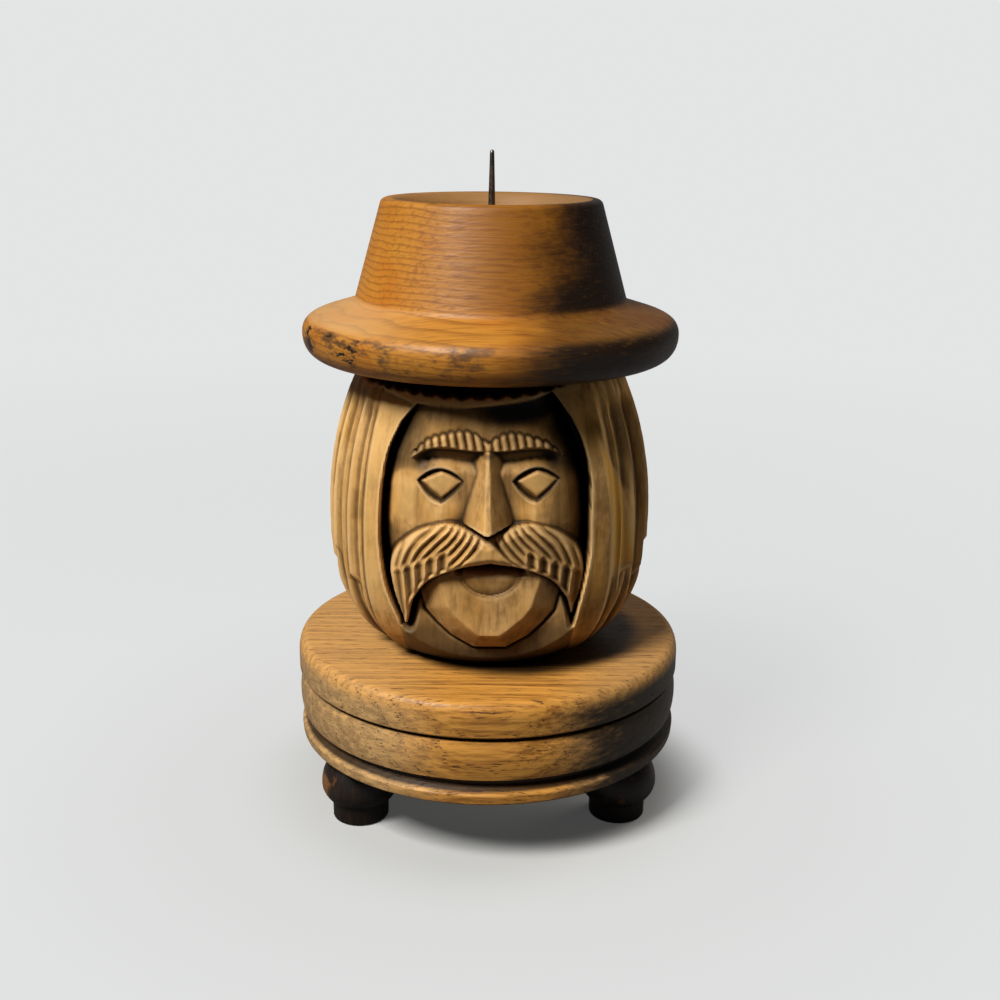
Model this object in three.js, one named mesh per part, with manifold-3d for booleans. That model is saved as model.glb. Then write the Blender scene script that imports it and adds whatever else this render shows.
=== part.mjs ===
// Carved wooden candlestick: a turned hat with a candle dish and spike, on a carved head,
// on a turned base with three ball feet. Millimetres, +Z up, and the face looks along -Y.
// The origin is on the surface that the feet stand on, at the middle of the base.
import * as THREE from 'three';
import { ConvexGeometry } from 'three/addons/geometries/ConvexGeometry.js';
import { mergeVertices } from 'three/addons/utils/BufferGeometryUtils.js';
import Module from 'manifold-3d';

const wasm = await Module();
wasm.setup();

// Heights of the joints between the stacked pieces
const BASE_UNDERSIDE = 23.5;
const BASE_TOP = 56.5;
const HAT_UNDERSIDE = 148.6;

// Joinery
const GLUE_GAP = 0.3;
const TENON_RADIUS = 5;
const TENON_LENGTH = 12;
const DOWEL_RADIUS = 5;
const DOWEL_DEPTH = 14;
const SCREW_SHANK_RADIUS = 2.4;
const SCREW_CORE_RADIUS = 1.7;
const SCREW_NECK = 1;
const SCREW_HEAD_RADIUS = 5;
const SCREW_HEAD_HEIGHT = 3;
const SCREW_HEAD_ROUND = 1;
const SCREW_SLOT_WIDTH = 1.2;
const SCREW_SLOT_DEPTH = 1.4;
const SCREW_BITE = 28;
const COUNTERBORE_RADIUS = 6;
const COUNTERBORE_DEPTH = 8;

// Ball feet
const FOOT_RING_RADIUS = 48.75;
const FOOT_RING_TURN = 2.2;
const BALL_RADIUS = 12.5;
const BALL_WIDEST = 12.3;
const BALL_RISE = 13.4;
const BALL_DROP = 9.1;
const TOE_RADIUS = 9;
const TOE_TAPER = 0.3;
const TOE_EASE = 0.8;

// Turned base: a thick disc, a band and a thin flange, with a groove between each two
const BASE_RADIUS = 63.15;
const BASE_EDGE_RUN = 3;
const BASE_EDGE_RISE = 5;
const BASE_DISC_LOWER = 45.6;
const BASE_BAND_RADIUS = 63;
const BASE_BAND_BULGE = 1;
const BASE_BAND_TOP = 44;
const BASE_BAND_LOWER = 31.6;
const FLANGE_RADIUS = 62.8;
const FLANGE_TOP = 28.9;
const FLANGE_EDGE = 26.8;
const UPPER_GROOVE_RADIUS = 60.2;
const LOWER_GROOVE_RADIUS = 59.2;
const TURNED_EASE = 0.8;

// Turned hat: the top of the brim slopes down from the crown and rounds over into its full edge
const BRIM_RADIUS = 59;
const BRIM_WIDEST = 156.9;
const BRIM_UNDER_RADIUS = 50;
const BRIM_SLOPE_RADIUS = 52.5;
const BRIM_SLOPE_FOOT = 163.2;
const BRIM_FULLNESS = 0.64;
const CROWN_FOOT = 166.2;
const CROWN_FOOT_RADIUS = 42.7;
const CROWN_FILLET = 1.6;
const CROWN_RIM_RADIUS = 33.9;
const CROWN_TOP = 197.4;
const RIM_ROUND = 1.6;
const DISH_MOUTH_RADIUS = 30.2;
const DISH_FLOOR_RADIUS = 25;
const DISH_COVE = 2.2;
const DISH_DEPTH = 5;

// Spike for the candle
const SPIKE_RADIUS = 1.2;
const SPIKE_TIP_RADIUS = 0.55;
const SPIKE_TIP_EASE = 0.3;
const SPIKE_HEIGHT = 19.3;
const SPIKE_SUNK = 22;

// Head block: an egg, cut flat where it meets the base and the hat
const EGG_RADIUS = 52;
const EGG_WIDEST = 99;
const EGG_ABOVE = 78.2;
const EGG_BELOW = 47.2;
const EGG_POWER_ABOVE = 2;
const EGG_POWER_BELOW = 2.85;

// Hair: long gouge flutes beside and behind the face, and a second row that starts on their ridges
const HAIR_FRONT = THREE.MathUtils.degToRad(46);
const FLUTE_COUNT = 21;
const FLUTE_DEPTH = 2.2;
const FLUTE_FADE_FROM = 134;
const FLUTE_FADE_TO = 143;
const FLUTE_FADE = 0.7;
const LONG_FLUTE_FADE = 0.85;
const LONG_FLUTE_END = 18;
const CREASE = 87;
const CREASE_RAMP = 0.42;
const SHORT_FLUTE_DEPTH = 2.7;
const SHORT_FLUTE_CURVE = 2.4;
const INNER_STRAND_INSET = 1.3;
const INNER_STRAND_RUN = 0.16;

// How unevenly the gouge was led, from flute to flute
const UNEVEN_PLACE = { share: 0.16, pace: 3 * Math.PI / 7 };
const UNEVEN_DEPTH = { share: 0.22, pace: 1.9 };
const UNEVEN_CREASE = { height: 4, pace: 2.7 };

// Fringe: a row of gouge scallops under the brim
const SCALLOP_RADIUS = 6;
const SCALLOP_LOWEST = 143.8;
const SCALLOP_FLOOR = 30;
const SCALLOP_FIRST = THREE.MathUtils.degToRad(-59);
const SCALLOP_LAST = THREE.MathUtils.degToRad(35);
const SCALLOP_COUNT = 12;

// Face: a boxy core that stands in the opening, given by its depth and half width at each height
const CORE_DEPTH = [
  [56.5, 39.4], [74, 39.4], [77, 32], [90, 32], [95, 42.4], [105, 43], [130, 43.2],
  [136, 42.8], [148.6, 40],
];
const CORE_HALF = [
  [56.5, 40], [72, 40], [77, 29], [85, 30], [96, 31.2], [105, 31.5], [116, 30.5], [125, 28.4], [134, 25.2],
  [148.6, 19],
];
const CORE_SQUARENESS = 4;
const NECK_INSET = 1.1;
const BROW_INSET = 3;
const MOUSTACHE_INSET = 2.7;
const MOUTH_DEPTH = 31;
const SLOT_BACK = 24;
const FRONT_REACH = 60;

const TURN_STEPS = 48;
const CUT_OVERSHOOT = 1;
const TAU = 2 * Math.PI;

// Solids from three.js geometry

// Shared vertices are merged, and the slivers that a profile leaves on the axis are dropped.
function solid(geometry) {
  const bare = geometry.clone();
  bare.deleteAttribute('normal');
  bare.deleteAttribute('uv');
  const merged = mergeVertices(bare, 1e-4);
  const corners = merged.index.array;
  const kept = [];
  for (let i = 0; i < corners.length; i += 3) {
    const [a, b, c] = corners.slice(i, i + 3);
    if (a !== b && b !== c && c !== a) kept.push(a, b, c);
  }
  return new wasm.Manifold(new wasm.Mesh({
    numProp: 3,
    vertProperties: merged.attributes.position.array,
    triVerts: new Uint32Array(kept),
  }));
}

function geometryOf(body) {
  const mesh = body.getMesh();
  const geometry = new THREE.BufferGeometry();
  geometry.setAttribute('position', new THREE.BufferAttribute(mesh.vertProperties, 3));
  geometry.setIndex(new THREE.BufferAttribute(mesh.triVerts, 1));
  geometry.computeVertexNormals();
  return geometry;
}

// A profile runs from the axis below, round the outside, to the axis above.
function turned(profile, steps = TURN_STEPS, curveSteps = 4) {
  return solid(new THREE.LatheGeometry(profile.getPoints(curveSteps), steps).rotateX(Math.PI / 2));
}

function peg(radius, low, high, steps = 20) {
  const profile = new THREE.Path();
  profile.moveTo(0, low);
  profile.lineTo(radius, low);
  profile.lineTo(radius, high);
  profile.lineTo(0, high);
  return turned(profile, steps);
}

// A closed body given by its distance from the axis at each angle from the front and each height.
function polarSolid(distance, angles, heights) {
  const columns = angles.length;
  const positions = [];
  for (const z of heights) {
    for (const angle of angles) {
      const r = distance(angle, z);
      positions.push(r * Math.sin(angle), -r * Math.cos(angle), z);
    }
  }
  const bottom = heights.length * columns;
  const top = bottom + 1;
  positions.push(0, 0, heights[0], 0, 0, heights.at(-1));
  const faces = [];
  for (let column = 0; column < columns; column += 1) {
    const next = (column + 1) % columns;
    faces.push(bottom, next, column);
    const lastRow = (heights.length - 1) * columns;
    faces.push(top, lastRow + column, lastRow + next);
    for (let row = 0; row < heights.length - 1; row += 1) {
      const low = row * columns;
      const high = low + columns;
      faces.push(low + column, low + next, high + next);
      faces.push(low + column, high + next, high + column);
    }
  }
  const geometry = new THREE.BufferGeometry();
  geometry.setAttribute('position', new THREE.Float32BufferAttribute(positions, 3));
  geometry.setIndex(faces);
  return solid(geometry);
}

// An outline drawn as seen from the front (x, height), with depth along -Y from near to far.
function frontPrism(outline, near, far) {
  const shape = new THREE.Shape(outline);
  const geometry = new THREE.ExtrudeGeometry(shape, { depth: far - near, bevelEnabled: false });
  return solid(geometry.rotateX(Math.PI / 2).translate(0, -near, 0));
}

function hull(points) {
  return solid(new ConvexGeometry(points));
}

const point = (x, y, z) => new THREE.Vector3(x, y, z);
const flat = (x, z) => new THREE.Vector2(x, z);
const bothSides = (points) => points.flatMap(({ x, y, z }) => [point(x, y, z), point(-x, y, z)]);

// The right half of an outline, from the middle above to the middle below, and its mirror image.
function mirrored(half) {
  const left = half.filter((p) => p.x > 0).map((p) => flat(-p.x, p.y)).reverse();
  return [...half, ...left];
}

const spline = (pairs, steps) =>
  new THREE.SplineCurve(pairs.map(([x, z]) => flat(x, z))).getPoints(steps);

// Turned pieces

function footBody() {
  const seat = Math.asin((BASE_UNDERSIDE - BALL_WIDEST) / BALL_RISE);
  const ankle = -Math.acos(TOE_RADIUS / BALL_RADIUS);
  const toeHeight = BALL_WIDEST + BALL_DROP * Math.sin(ankle);
  const tenonTop = BASE_UNDERSIDE + TENON_LENGTH;
  const profile = new THREE.Path();
  profile.moveTo(0, 0);
  profile.lineTo(TOE_RADIUS - TOE_EASE, 0);
  profile.quadraticCurveTo(TOE_RADIUS, 0, TOE_RADIUS, TOE_EASE);
  profile.lineTo(TOE_RADIUS - TOE_TAPER, toeHeight);
  profile.absellipse(0, BALL_WIDEST, BALL_RADIUS, BALL_DROP, ankle, 0);
  profile.absellipse(0, BALL_WIDEST, BALL_RADIUS, BALL_RISE, 0, seat);
  profile.lineTo(TENON_RADIUS, BASE_UNDERSIDE);
  profile.lineTo(TENON_RADIUS, tenonTop - TOE_EASE);
  profile.lineTo(TENON_RADIUS - TOE_EASE, tenonTop);
  profile.lineTo(0, tenonTop);
  return turned(profile, 16, 3);
}

function baseBody(footAngles) {
  const edgeFoot = BASE_TOP - BASE_EDGE_RISE;
  const bandMiddle = (BASE_BAND_TOP + BASE_BAND_LOWER) / 2;
  const bandEnd = BASE_BAND_RADIUS - BASE_BAND_BULGE;
  const profile = new THREE.Path();
  profile.moveTo(0, BASE_UNDERSIDE);
  profile.lineTo(FLANGE_RADIUS - TURNED_EASE, BASE_UNDERSIDE);
  profile.lineTo(FLANGE_RADIUS, BASE_UNDERSIDE + TURNED_EASE);
  profile.lineTo(FLANGE_RADIUS, FLANGE_EDGE);
  profile.lineTo(LOWER_GROOVE_RADIUS, FLANGE_TOP);
  profile.lineTo(LOWER_GROOVE_RADIUS, BASE_BAND_LOWER - TURNED_EASE);
  profile.lineTo(bandEnd, BASE_BAND_LOWER);
  profile.quadraticCurveTo(BASE_BAND_RADIUS + BASE_BAND_BULGE, bandMiddle, bandEnd, BASE_BAND_TOP);
  profile.lineTo(UPPER_GROOVE_RADIUS, BASE_BAND_TOP);
  profile.lineTo(UPPER_GROOVE_RADIUS, BASE_DISC_LOWER);
  profile.lineTo(BASE_RADIUS - TURNED_EASE, BASE_DISC_LOWER);
  profile.lineTo(BASE_RADIUS, BASE_DISC_LOWER + TURNED_EASE);
  profile.lineTo(BASE_RADIUS, edgeFoot);
  profile.absellipse(BASE_RADIUS - BASE_EDGE_RUN, edgeFoot, BASE_EDGE_RUN, BASE_EDGE_RISE, 0, Math.PI / 2);
  profile.lineTo(0, BASE_TOP);
  let body = turned(profile);

  const below = BASE_UNDERSIDE - CUT_OVERSHOOT;
  const mortiseTop = BASE_UNDERSIDE + TENON_LENGTH + GLUE_GAP;
  for (const angle of footAngles) {
    const mortise = peg(TENON_RADIUS + GLUE_GAP, below, mortiseTop);
    body = body.subtract(mortise.translate(footPlace(angle).toArray()));
  }
  const counterbore = peg(COUNTERBORE_RADIUS, below, BASE_UNDERSIDE + COUNTERBORE_DEPTH);
  const bore = peg(SCREW_SHANK_RADIUS + GLUE_GAP, below, BASE_TOP + CUT_OVERSHOOT);
  return body.subtract(counterbore).subtract(bore);
}

function hatBody() {
  const dishFloor = CROWN_TOP - DISH_DEPTH;
  const underRun = BRIM_FULLNESS * (BRIM_RADIUS - BRIM_UNDER_RADIUS);
  const underDrop = BRIM_FULLNESS * (BRIM_WIDEST - HAT_UNDERSIDE);
  const overRun = BRIM_FULLNESS * (BRIM_RADIUS - BRIM_SLOPE_RADIUS);
  const overRise = BRIM_FULLNESS * (BRIM_SLOPE_FOOT - BRIM_WIDEST);
  const slope = (CROWN_FOOT - BRIM_SLOPE_FOOT) / (BRIM_SLOPE_RADIUS - CROWN_FOOT_RADIUS);
  const lean = (CROWN_FOOT_RADIUS - CROWN_RIM_RADIUS) / (CROWN_TOP - CROWN_FOOT);
  const profile = new THREE.Path();
  profile.moveTo(0, HAT_UNDERSIDE);
  profile.lineTo(BRIM_UNDER_RADIUS, HAT_UNDERSIDE);
  profile.bezierCurveTo(
    BRIM_UNDER_RADIUS + underRun, HAT_UNDERSIDE,
    BRIM_RADIUS, BRIM_WIDEST - underDrop,
    BRIM_RADIUS, BRIM_WIDEST,
  );
  profile.bezierCurveTo(
    BRIM_RADIUS, BRIM_WIDEST + overRise,
    BRIM_SLOPE_RADIUS + overRun, BRIM_SLOPE_FOOT - slope * overRun,
    BRIM_SLOPE_RADIUS, BRIM_SLOPE_FOOT,
  );
  profile.lineTo(CROWN_FOOT_RADIUS + CROWN_FILLET, CROWN_FOOT - slope * CROWN_FILLET);
  profile.quadraticCurveTo(
    CROWN_FOOT_RADIUS, CROWN_FOOT,
    CROWN_FOOT_RADIUS - lean * CROWN_FILLET, CROWN_FOOT + CROWN_FILLET,
  );
  profile.lineTo(CROWN_RIM_RADIUS + lean * RIM_ROUND, CROWN_TOP - RIM_ROUND);
  profile.quadraticCurveTo(CROWN_RIM_RADIUS, CROWN_TOP, CROWN_RIM_RADIUS - RIM_ROUND, CROWN_TOP);
  profile.lineTo(DISH_MOUTH_RADIUS, CROWN_TOP);
  profile.quadraticCurveTo(DISH_FLOOR_RADIUS + DISH_COVE, dishFloor, DISH_FLOOR_RADIUS, dishFloor);
  profile.lineTo(0, dishFloor);
  const spikeBore = peg(SPIKE_RADIUS + GLUE_GAP, dishFloor - SPIKE_SUNK, dishFloor + CUT_OVERSHOOT, 16);
  const dowelBore = peg(DOWEL_RADIUS + GLUE_GAP, HAT_UNDERSIDE - CUT_OVERSHOOT, HAT_UNDERSIDE + DOWEL_DEPTH);
  return turned(profile).subtract(spikeBore).subtract(dowelBore);
}

function spikeBody() {
  const dishFloor = CROWN_TOP - DISH_DEPTH;
  const tip = dishFloor + SPIKE_HEIGHT;
  const profile = new THREE.Path();
  profile.moveTo(0, dishFloor - SPIKE_SUNK);
  profile.lineTo(SPIKE_RADIUS, dishFloor - SPIKE_SUNK);
  profile.lineTo(SPIKE_RADIUS, dishFloor);
  profile.lineTo(SPIKE_TIP_RADIUS, tip - SPIKE_TIP_EASE);
  profile.lineTo(SPIKE_TIP_RADIUS - SPIKE_TIP_EASE, tip);
  profile.lineTo(0, tip);
  return turned(profile, 16);
}

// The dowel stands on the floor of its hole in the head.
function dowelBody() {
  return peg(DOWEL_RADIUS, HAT_UNDERSIDE - DOWEL_DEPTH, HAT_UNDERSIDE + DOWEL_DEPTH - GLUE_GAP);
}

// The screw pulls on the roof of the counterbore, and its tip bites into the head.
function screwBody() {
  const seat = BASE_UNDERSIDE + COUNTERBORE_DEPTH;
  const headLow = seat - SCREW_HEAD_HEIGHT;
  const tip = BASE_TOP + SCREW_BITE;
  const profile = new THREE.Path();
  profile.moveTo(0, headLow);
  profile.lineTo(SCREW_HEAD_RADIUS - SCREW_HEAD_ROUND, headLow);
  profile.quadraticCurveTo(SCREW_HEAD_RADIUS, headLow, SCREW_HEAD_RADIUS, headLow + SCREW_HEAD_ROUND);
  profile.lineTo(SCREW_HEAD_RADIUS, seat);
  profile.lineTo(SCREW_SHANK_RADIUS, seat);
  profile.lineTo(SCREW_SHANK_RADIUS, BASE_TOP - 2 * SCREW_NECK);
  profile.lineTo(SCREW_CORE_RADIUS, BASE_TOP - SCREW_NECK);
  profile.lineTo(SCREW_CORE_RADIUS, tip - 2 * SCREW_SHANK_RADIUS);
  profile.lineTo(0, tip);
  const slot = new THREE.BoxGeometry(3 * SCREW_HEAD_RADIUS, SCREW_SLOT_WIDTH, 2 * SCREW_SLOT_DEPTH);
  return turned(profile, 20, 3).subtract(solid(slot.translate(0, 0, headLow)));
}

// Carved head

function eggRadius(z) {
  const above = z > EGG_WIDEST;
  const power = above ? EGG_POWER_ABOVE : EGG_POWER_BELOW;
  const share = Math.abs(z - EGG_WIDEST) / (above ? EGG_ABOVE : EGG_BELOW);
  return EGG_RADIUS * (1 - share ** power) ** (1 / power);
}

// A point of the egg, seen from the front, at a depth below its surface.
function onEgg(x, z, inset = 0) {
  return point(x, -Math.sqrt((eggRadius(z) - inset) ** 2 - x * x), z);
}

const stepsBetween = (low, high, count) =>
  Array.from({ length: count + 1 }, (_, i) => low + (high - low) * i / count);

const allRound = (count) => stepsBetween(0, TAU, count).slice(0, -1);

// The value between the two nearest entries of a table of [place, value] pairs
function between(table, place) {
  const next = table.findIndex(([at]) => at >= place);
  if (next < 1) return table.at(next)[1];
  const [low, high] = [table[next - 1], table[next]];
  return THREE.MathUtils.mapLinear(place, low[0], high[0], low[1], high[1]);
}

function eggBody(inset) {
  const heights = stepsBetween(BASE_TOP, HAT_UNDERSIDE, 18);
  return polarSolid((angle, z) => eggRadius(z) - inset, allRound(60), heights);
}

const byHand = (ridge, { pace }) => Math.sin(pace * ridge);

const RIDGES = stepsBetween(0, FLUTE_COUNT, FLUTE_COUNT).map((ridge) => {
  const place = (ridge + UNEVEN_PLACE.share * byHand(ridge, UNEVEN_PLACE)) / FLUTE_COUNT;
  return THREE.MathUtils.lerp(HAIR_FRONT, TAU - HAIR_FRONT, place);
});

// A smooth strand lies on each side of the face, and the flutes run from one round to the other.
function hairDistance(angle, z) {
  const { smoothstep, clamp } = THREE.MathUtils;
  const egg = eggRadius(z);
  const fade = 1 - FLUTE_FADE * smoothstep(z, FLUTE_FADE_FROM, FLUTE_FADE_TO);
  const flute = RIDGES.findLastIndex((ridge) => angle >= ridge);
  if (flute < 0 || flute === FLUTE_COUNT) {
    const inward = HAIR_FRONT - Math.min(angle, TAU - angle);
    return egg - INNER_STRAND_INSET * fade * smoothstep(inward, 0, INNER_STRAND_RUN);
  }
  const across = 2 * (angle - RIDGES[flute]) / (RIDGES[flute + 1] - RIDGES[flute]) - 1;
  const ridge = across < 0 ? flute : flute + 1;
  const outermost = ridge === 0 || ridge === FLUTE_COUNT;
  const crease = outermost ? BASE_TOP : CREASE + UNEVEN_CREASE.height * byHand(ridge, UNEVEN_CREASE);
  const depth = FLUTE_DEPTH * (1 + UNEVEN_DEPTH.share * byHand(flute, UNEVEN_DEPTH));
  const ending = 1 - LONG_FLUTE_FADE * smoothstep(crease - z, 0, LONG_FLUTE_END);
  const long = depth * fade * ending * (1 - across ** 2);
  const entry = clamp(CREASE_RAMP * (crease - z), -SHORT_FLUTE_DEPTH, SHORT_FLUTE_DEPTH);
  const short = entry - SHORT_FLUTE_CURVE * (1 - Math.abs(across)) ** 2;
  return egg - Math.max(long, short);
}

function hairBlock() {
  const heights = [
    ...stepsBetween(BASE_TOP, CREASE - 9, 4),
    ...stepsBetween(CREASE - 5, CREASE + 7, 3),
    ...stepsBetween(CREASE + 18, FLUTE_FADE_FROM, 2),
    FLUTE_FADE_TO,
    HAT_UNDERSIDE,
  ];
  const flute = (ridge, i) => stepsBetween(ridge, RIDGES[i + 1], 4).slice(0, -1);
  const flutes = RIDGES.slice(0, -1).flatMap(flute);
  const right = [0, 0.25, 0.5, HAIR_FRONT - INNER_STRAND_RUN, HAIR_FRONT - INNER_STRAND_RUN / 2];
  const left = right.slice(1).map((angle) => TAU - angle).reverse();
  return polarSolid(hairDistance, [...right, ...flutes, RIDGES.at(-1), ...left], heights);
}

// The opening that the face lies in, and the boxy face inside it with a dark slot on each side
const FRINGE_EDGE = [[-21, 140.6], [-7.6, 140.7], [0, 141.3], [10, 142.6], [18.5, 144.4]];
const RIGHT_LOCK = [[24, 136.7], [27.8, 128.6], [30.1, 118.3], [30.5, 105.6], [29.4, 84], [26.3, 73]];
const LEFT_LOCK = [[-26.2, 73], [-30.7, 82], [-33.8, 98.6], [-32.4, 117.3], [-29.6, 126.7], [-25.4, 135]];
const FACE_OPENING = [
  ...spline(FRINGE_EDGE, 6),
  ...spline(RIGHT_LOCK, 10),
  flat(23, 50),
  flat(-23, 50),
  ...spline(LEFT_LOCK, 10),
];

// The core stands a little left of the middle. Below it the neck follows the block and ends inside the locks.
const CORE_SHIFT = -0.7;
const CORE_WINDOW = mirrored([flat(0, 150), flat(36, 150), flat(36, 82), flat(28, 73), flat(24.5, 50)]);

function faceCore() {
  const distance = (angle, z) => {
    const across = (Math.abs(Math.sin(angle)) / between(CORE_HALF, z)) ** CORE_SQUARENESS;
    const along = (Math.abs(Math.cos(angle)) / between(CORE_DEPTH, z)) ** CORE_SQUARENESS;
    return (across + along) ** (-1 / CORE_SQUARENESS);
  };
  const heights = [56.5, 74, 77, 90, 95, 105, 116, 125, 134, 148.6];
  const core = polarSolid(distance, allRound(40), heights).translate([CORE_SHIFT, 0, 0]);
  const window = frontPrism(CORE_WINDOW, 0, FRONT_REACH);
  return core.intersect(eggBody(NECK_INSET)).intersect(window);
}

// One cut of a V tool in a surface that lies at a depth below the egg
function vCut([x0, z0], [x1, z1], inset, width, depth) {
  const along = flat(x1 - x0, z1 - z0).normalize();
  const side = point(-along.y, 0, along.x).multiplyScalar(width);
  const corners = [];
  for (const place of [onEgg(x0, z0, inset), onEgg(x1, z1, inset)]) {
    const outward = point(place.x, place.y, 0).normalize();
    const above = place.clone().addScaledVector(outward, depth);
    corners.push(above.clone().add(side), above.clone().sub(side));
    corners.push(place.clone().addScaledVector(outward, -depth));
  }
  return hull(corners);
}

function cutAll(body, cutters) {
  return cutters.reduce((left, cutter) => left.subtract(cutter), body);
}

const BROW_TOP = [[0, 130.7], [4.8, 133.9], [8, 134.3], [12.9, 133.3], [18, 131.2], [22.4, 126.6]];
const BROW_LOWER = [[22.6, 125], [19.4, 127.5], [16.3, 128.7], [12, 129.2], [4, 128.1], [0, 128]];
const BROW_NOTCH = { count: 9, first: 1.25, last: 21.25, lean: 0.2, top: 136, low: 124, size: 0.9 };

function browBody() {
  const outline = mirrored([...spline(BROW_TOP, 12), ...spline(BROW_LOWER, 6)]);
  const bar = frontPrism(outline, SLOT_BACK, FRONT_REACH).intersect(eggBody(BROW_INSET));
  const { count, first, last, lean, top, low, size } = BROW_NOTCH;
  const run = lean * (top - low) / 2;
  const cutters = [];
  for (const x of stepsBetween(first, last, count - 1)) {
    for (const middle of [-x, x]) {
      cutters.push(vCut([middle - run, top], [middle + run, low], BROW_INSET, size, size));
    }
  }
  return cutAll(bar, cutters);
}

// Under the brow a V-shaped fold runs over both eyes: its places across, with depth and height.
const SOCKET_FOLD = [[0, 39, 124.7], [12, 38.4, 125.2], [23, 34.5, 123.6]];
const SOCKET_RISE = 4.5;
const SOCKET_DROP = 4.5;
const SOCKET_REACH = 6;

function socketCuts() {
  const section = ([x, depth, z]) => [
    point(x, -depth, z),
    point(x, -depth - SOCKET_REACH, z + SOCKET_RISE),
    point(x, -depth - SOCKET_REACH, z - SOCKET_DROP),
  ];
  const turnOver = (corners) => corners.map(({ x, y, z }) => point(-x, y, z));
  const [inner, middle, outer] = SOCKET_FOLD.map(section);
  return [
    hull([...inner, ...middle]),
    hull([...middle, ...outer]),
    hull(turnOver([...inner, ...middle])),
    hull(turnOver([...middle, ...outer])),
  ];
}

// An eye is a flat diamond left standing in an almond-shaped hollow, with a facet below each of its edges.
const EYE = { x: 14.1, y: -39.4, z: 118.6, halfWidth: 6.95, rise: 4.2, drop: 6.2, yaw: 0.14 };
const EYE_LID = [[-EYE.halfWidth, 0], [-3.5, 3.1], [0, EYE.rise], [3.5, 3.1], [EYE.halfWidth, 0]];
const EYE_CUT_REACH = 9;
const EYE_DIAMOND = { halfWidth: 6.8, rise: 4, drop: 6, back: 4, edge: -0.8, front: -2.5, flat: 0.84 };

function eyePlace(sign) {
  const turn = new THREE.Matrix4().makeRotationZ(sign * EYE.yaw);
  return turn.setPosition(sign * EYE.x, EYE.y, EYE.z);
}

function eyeCut(sign) {
  const shape = new THREE.Shape([...spline(EYE_LID, 8), flat(0, -EYE.drop)]);
  const geometry = new THREE.ExtrudeGeometry(shape, { depth: EYE_CUT_REACH, bevelEnabled: false });
  return solid(geometry.rotateX(Math.PI / 2).applyMatrix4(eyePlace(sign)));
}

function eyeBody(sign) {
  const { halfWidth, rise, drop, back, edge, front } = EYE_DIAMOND;
  const corners = [];
  for (const [scale, y] of [[1, back], [1, edge], [EYE_DIAMOND.flat, front]]) {
    corners.push(point(halfWidth * scale, y, 0), point(-halfWidth * scale, y, 0));
    corners.push(point(0, y, rise * scale), point(0, y, -drop * scale));
  }
  return hull(corners.map((corner) => corner.applyMatrix4(eyePlace(sign))));
}

// Half of the nose: root, tip and the edge where it leaves the face
const NOSE_HALF = [
  point(0.3, -44.6, 128.4),
  point(1, -53.2, 104.6),
  point(8.7, -42.2, 106),
  point(8.7, -38, 106),
  point(1.8, -42.4, 128.4),
  point(1.8, -38, 128.4),
];

const MOUSTACHE_TOP = [
  [7, 105.6], [12, 106.7], [18, 105], [23.8, 101.2], [28, 96], [29.5, 90], [28.6, 84], [27, 78], [25.4, 72],
];
const MOUSTACHE_ARCH = [
  [25, 72], [23.6, 79.5], [22.2, 82.7], [19.3, 87.2], [15.3, 90.2], [8, 93.2], [0, 94.7],
];
const UNDER_NOSE = flat(0, 101.8);

// Two rows of V cuts: long slanting strands above, and short steep ones between them and the arch
const STRAND = { count: 8, first: 4.8, pitch: 3, middle: 98, rise: 7.6, drop: 3, lean: 0.85 };
const SHORT_STRAND = { count: 4, first: 13.3, pitch: 3.6, start: 97.6, slope: 0.5, end: 92, fall: 1.25 };
const STRAND_CUT = { width: 0.95, depth: 1.15 };

function strandLines() {
  const lines = [];
  for (let i = 0; i < STRAND.count; i += 1) {
    const { rise, drop } = STRAND;
    const x = STRAND.first + STRAND.pitch * i;
    const z = STRAND.middle - 0.3 * Math.max(x - 12, 0);
    const lean = STRAND.lean * (1 - (x / 40) ** 2);
    lines.push([[x - lean * rise, z + rise], [x + lean * drop, z - drop]]);
  }
  for (let i = 0; i < SHORT_STRAND.count; i += 1) {
    const { first, pitch, start, slope, end, fall } = SHORT_STRAND;
    const out = pitch * i;
    lines.push([[first + out, start - slope * out], [first + out, end - fall * out]]);
  }
  return lines;
}

function moustacheBody() {
  const outline = mirrored([UNDER_NOSE, ...spline(MOUSTACHE_TOP, 14), ...spline(MOUSTACHE_ARCH, 12)]);
  const block = frontPrism(outline, SLOT_BACK, FRONT_REACH).intersect(eggBody(MOUSTACHE_INSET));
  const cutters = [];
  for (const line of strandLines()) {
    for (const sign of [-1, 1]) {
      const [from, to] = line.map(([x, z]) => [sign * x, z]);
      cutters.push(vCut(from, to, MOUSTACHE_INSET, STRAND_CUT.width, STRAND_CUT.depth));
    }
  }
  return cutAll(block, cutters);
}

// The lower lip is half a disc with an eased edge. Above it the mouth is a dark gap.
const LIP = { x: 0.8, z: 91.4, squash: 0.86, outer: 8.9, inner: 6.6, back: -30, edge: -43.5, front: -44.8 };
const MOUTH = [flat(-9.4, 91), flat(11, 91), flat(11, 96), flat(-9.4, 96)];

function lipBody() {
  const { x, z, squash, outer, inner, back, edge, front } = LIP;
  const corners = [];
  for (const angle of stepsBetween(Math.PI, TAU, 6)) {
    for (const [radius, y] of [[outer, back], [outer, edge], [inner, front]]) {
      corners.push(point(x + radius * Math.cos(angle), y, z + squash * radius * Math.sin(angle)));
    }
  }
  return hull(corners);
}

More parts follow.
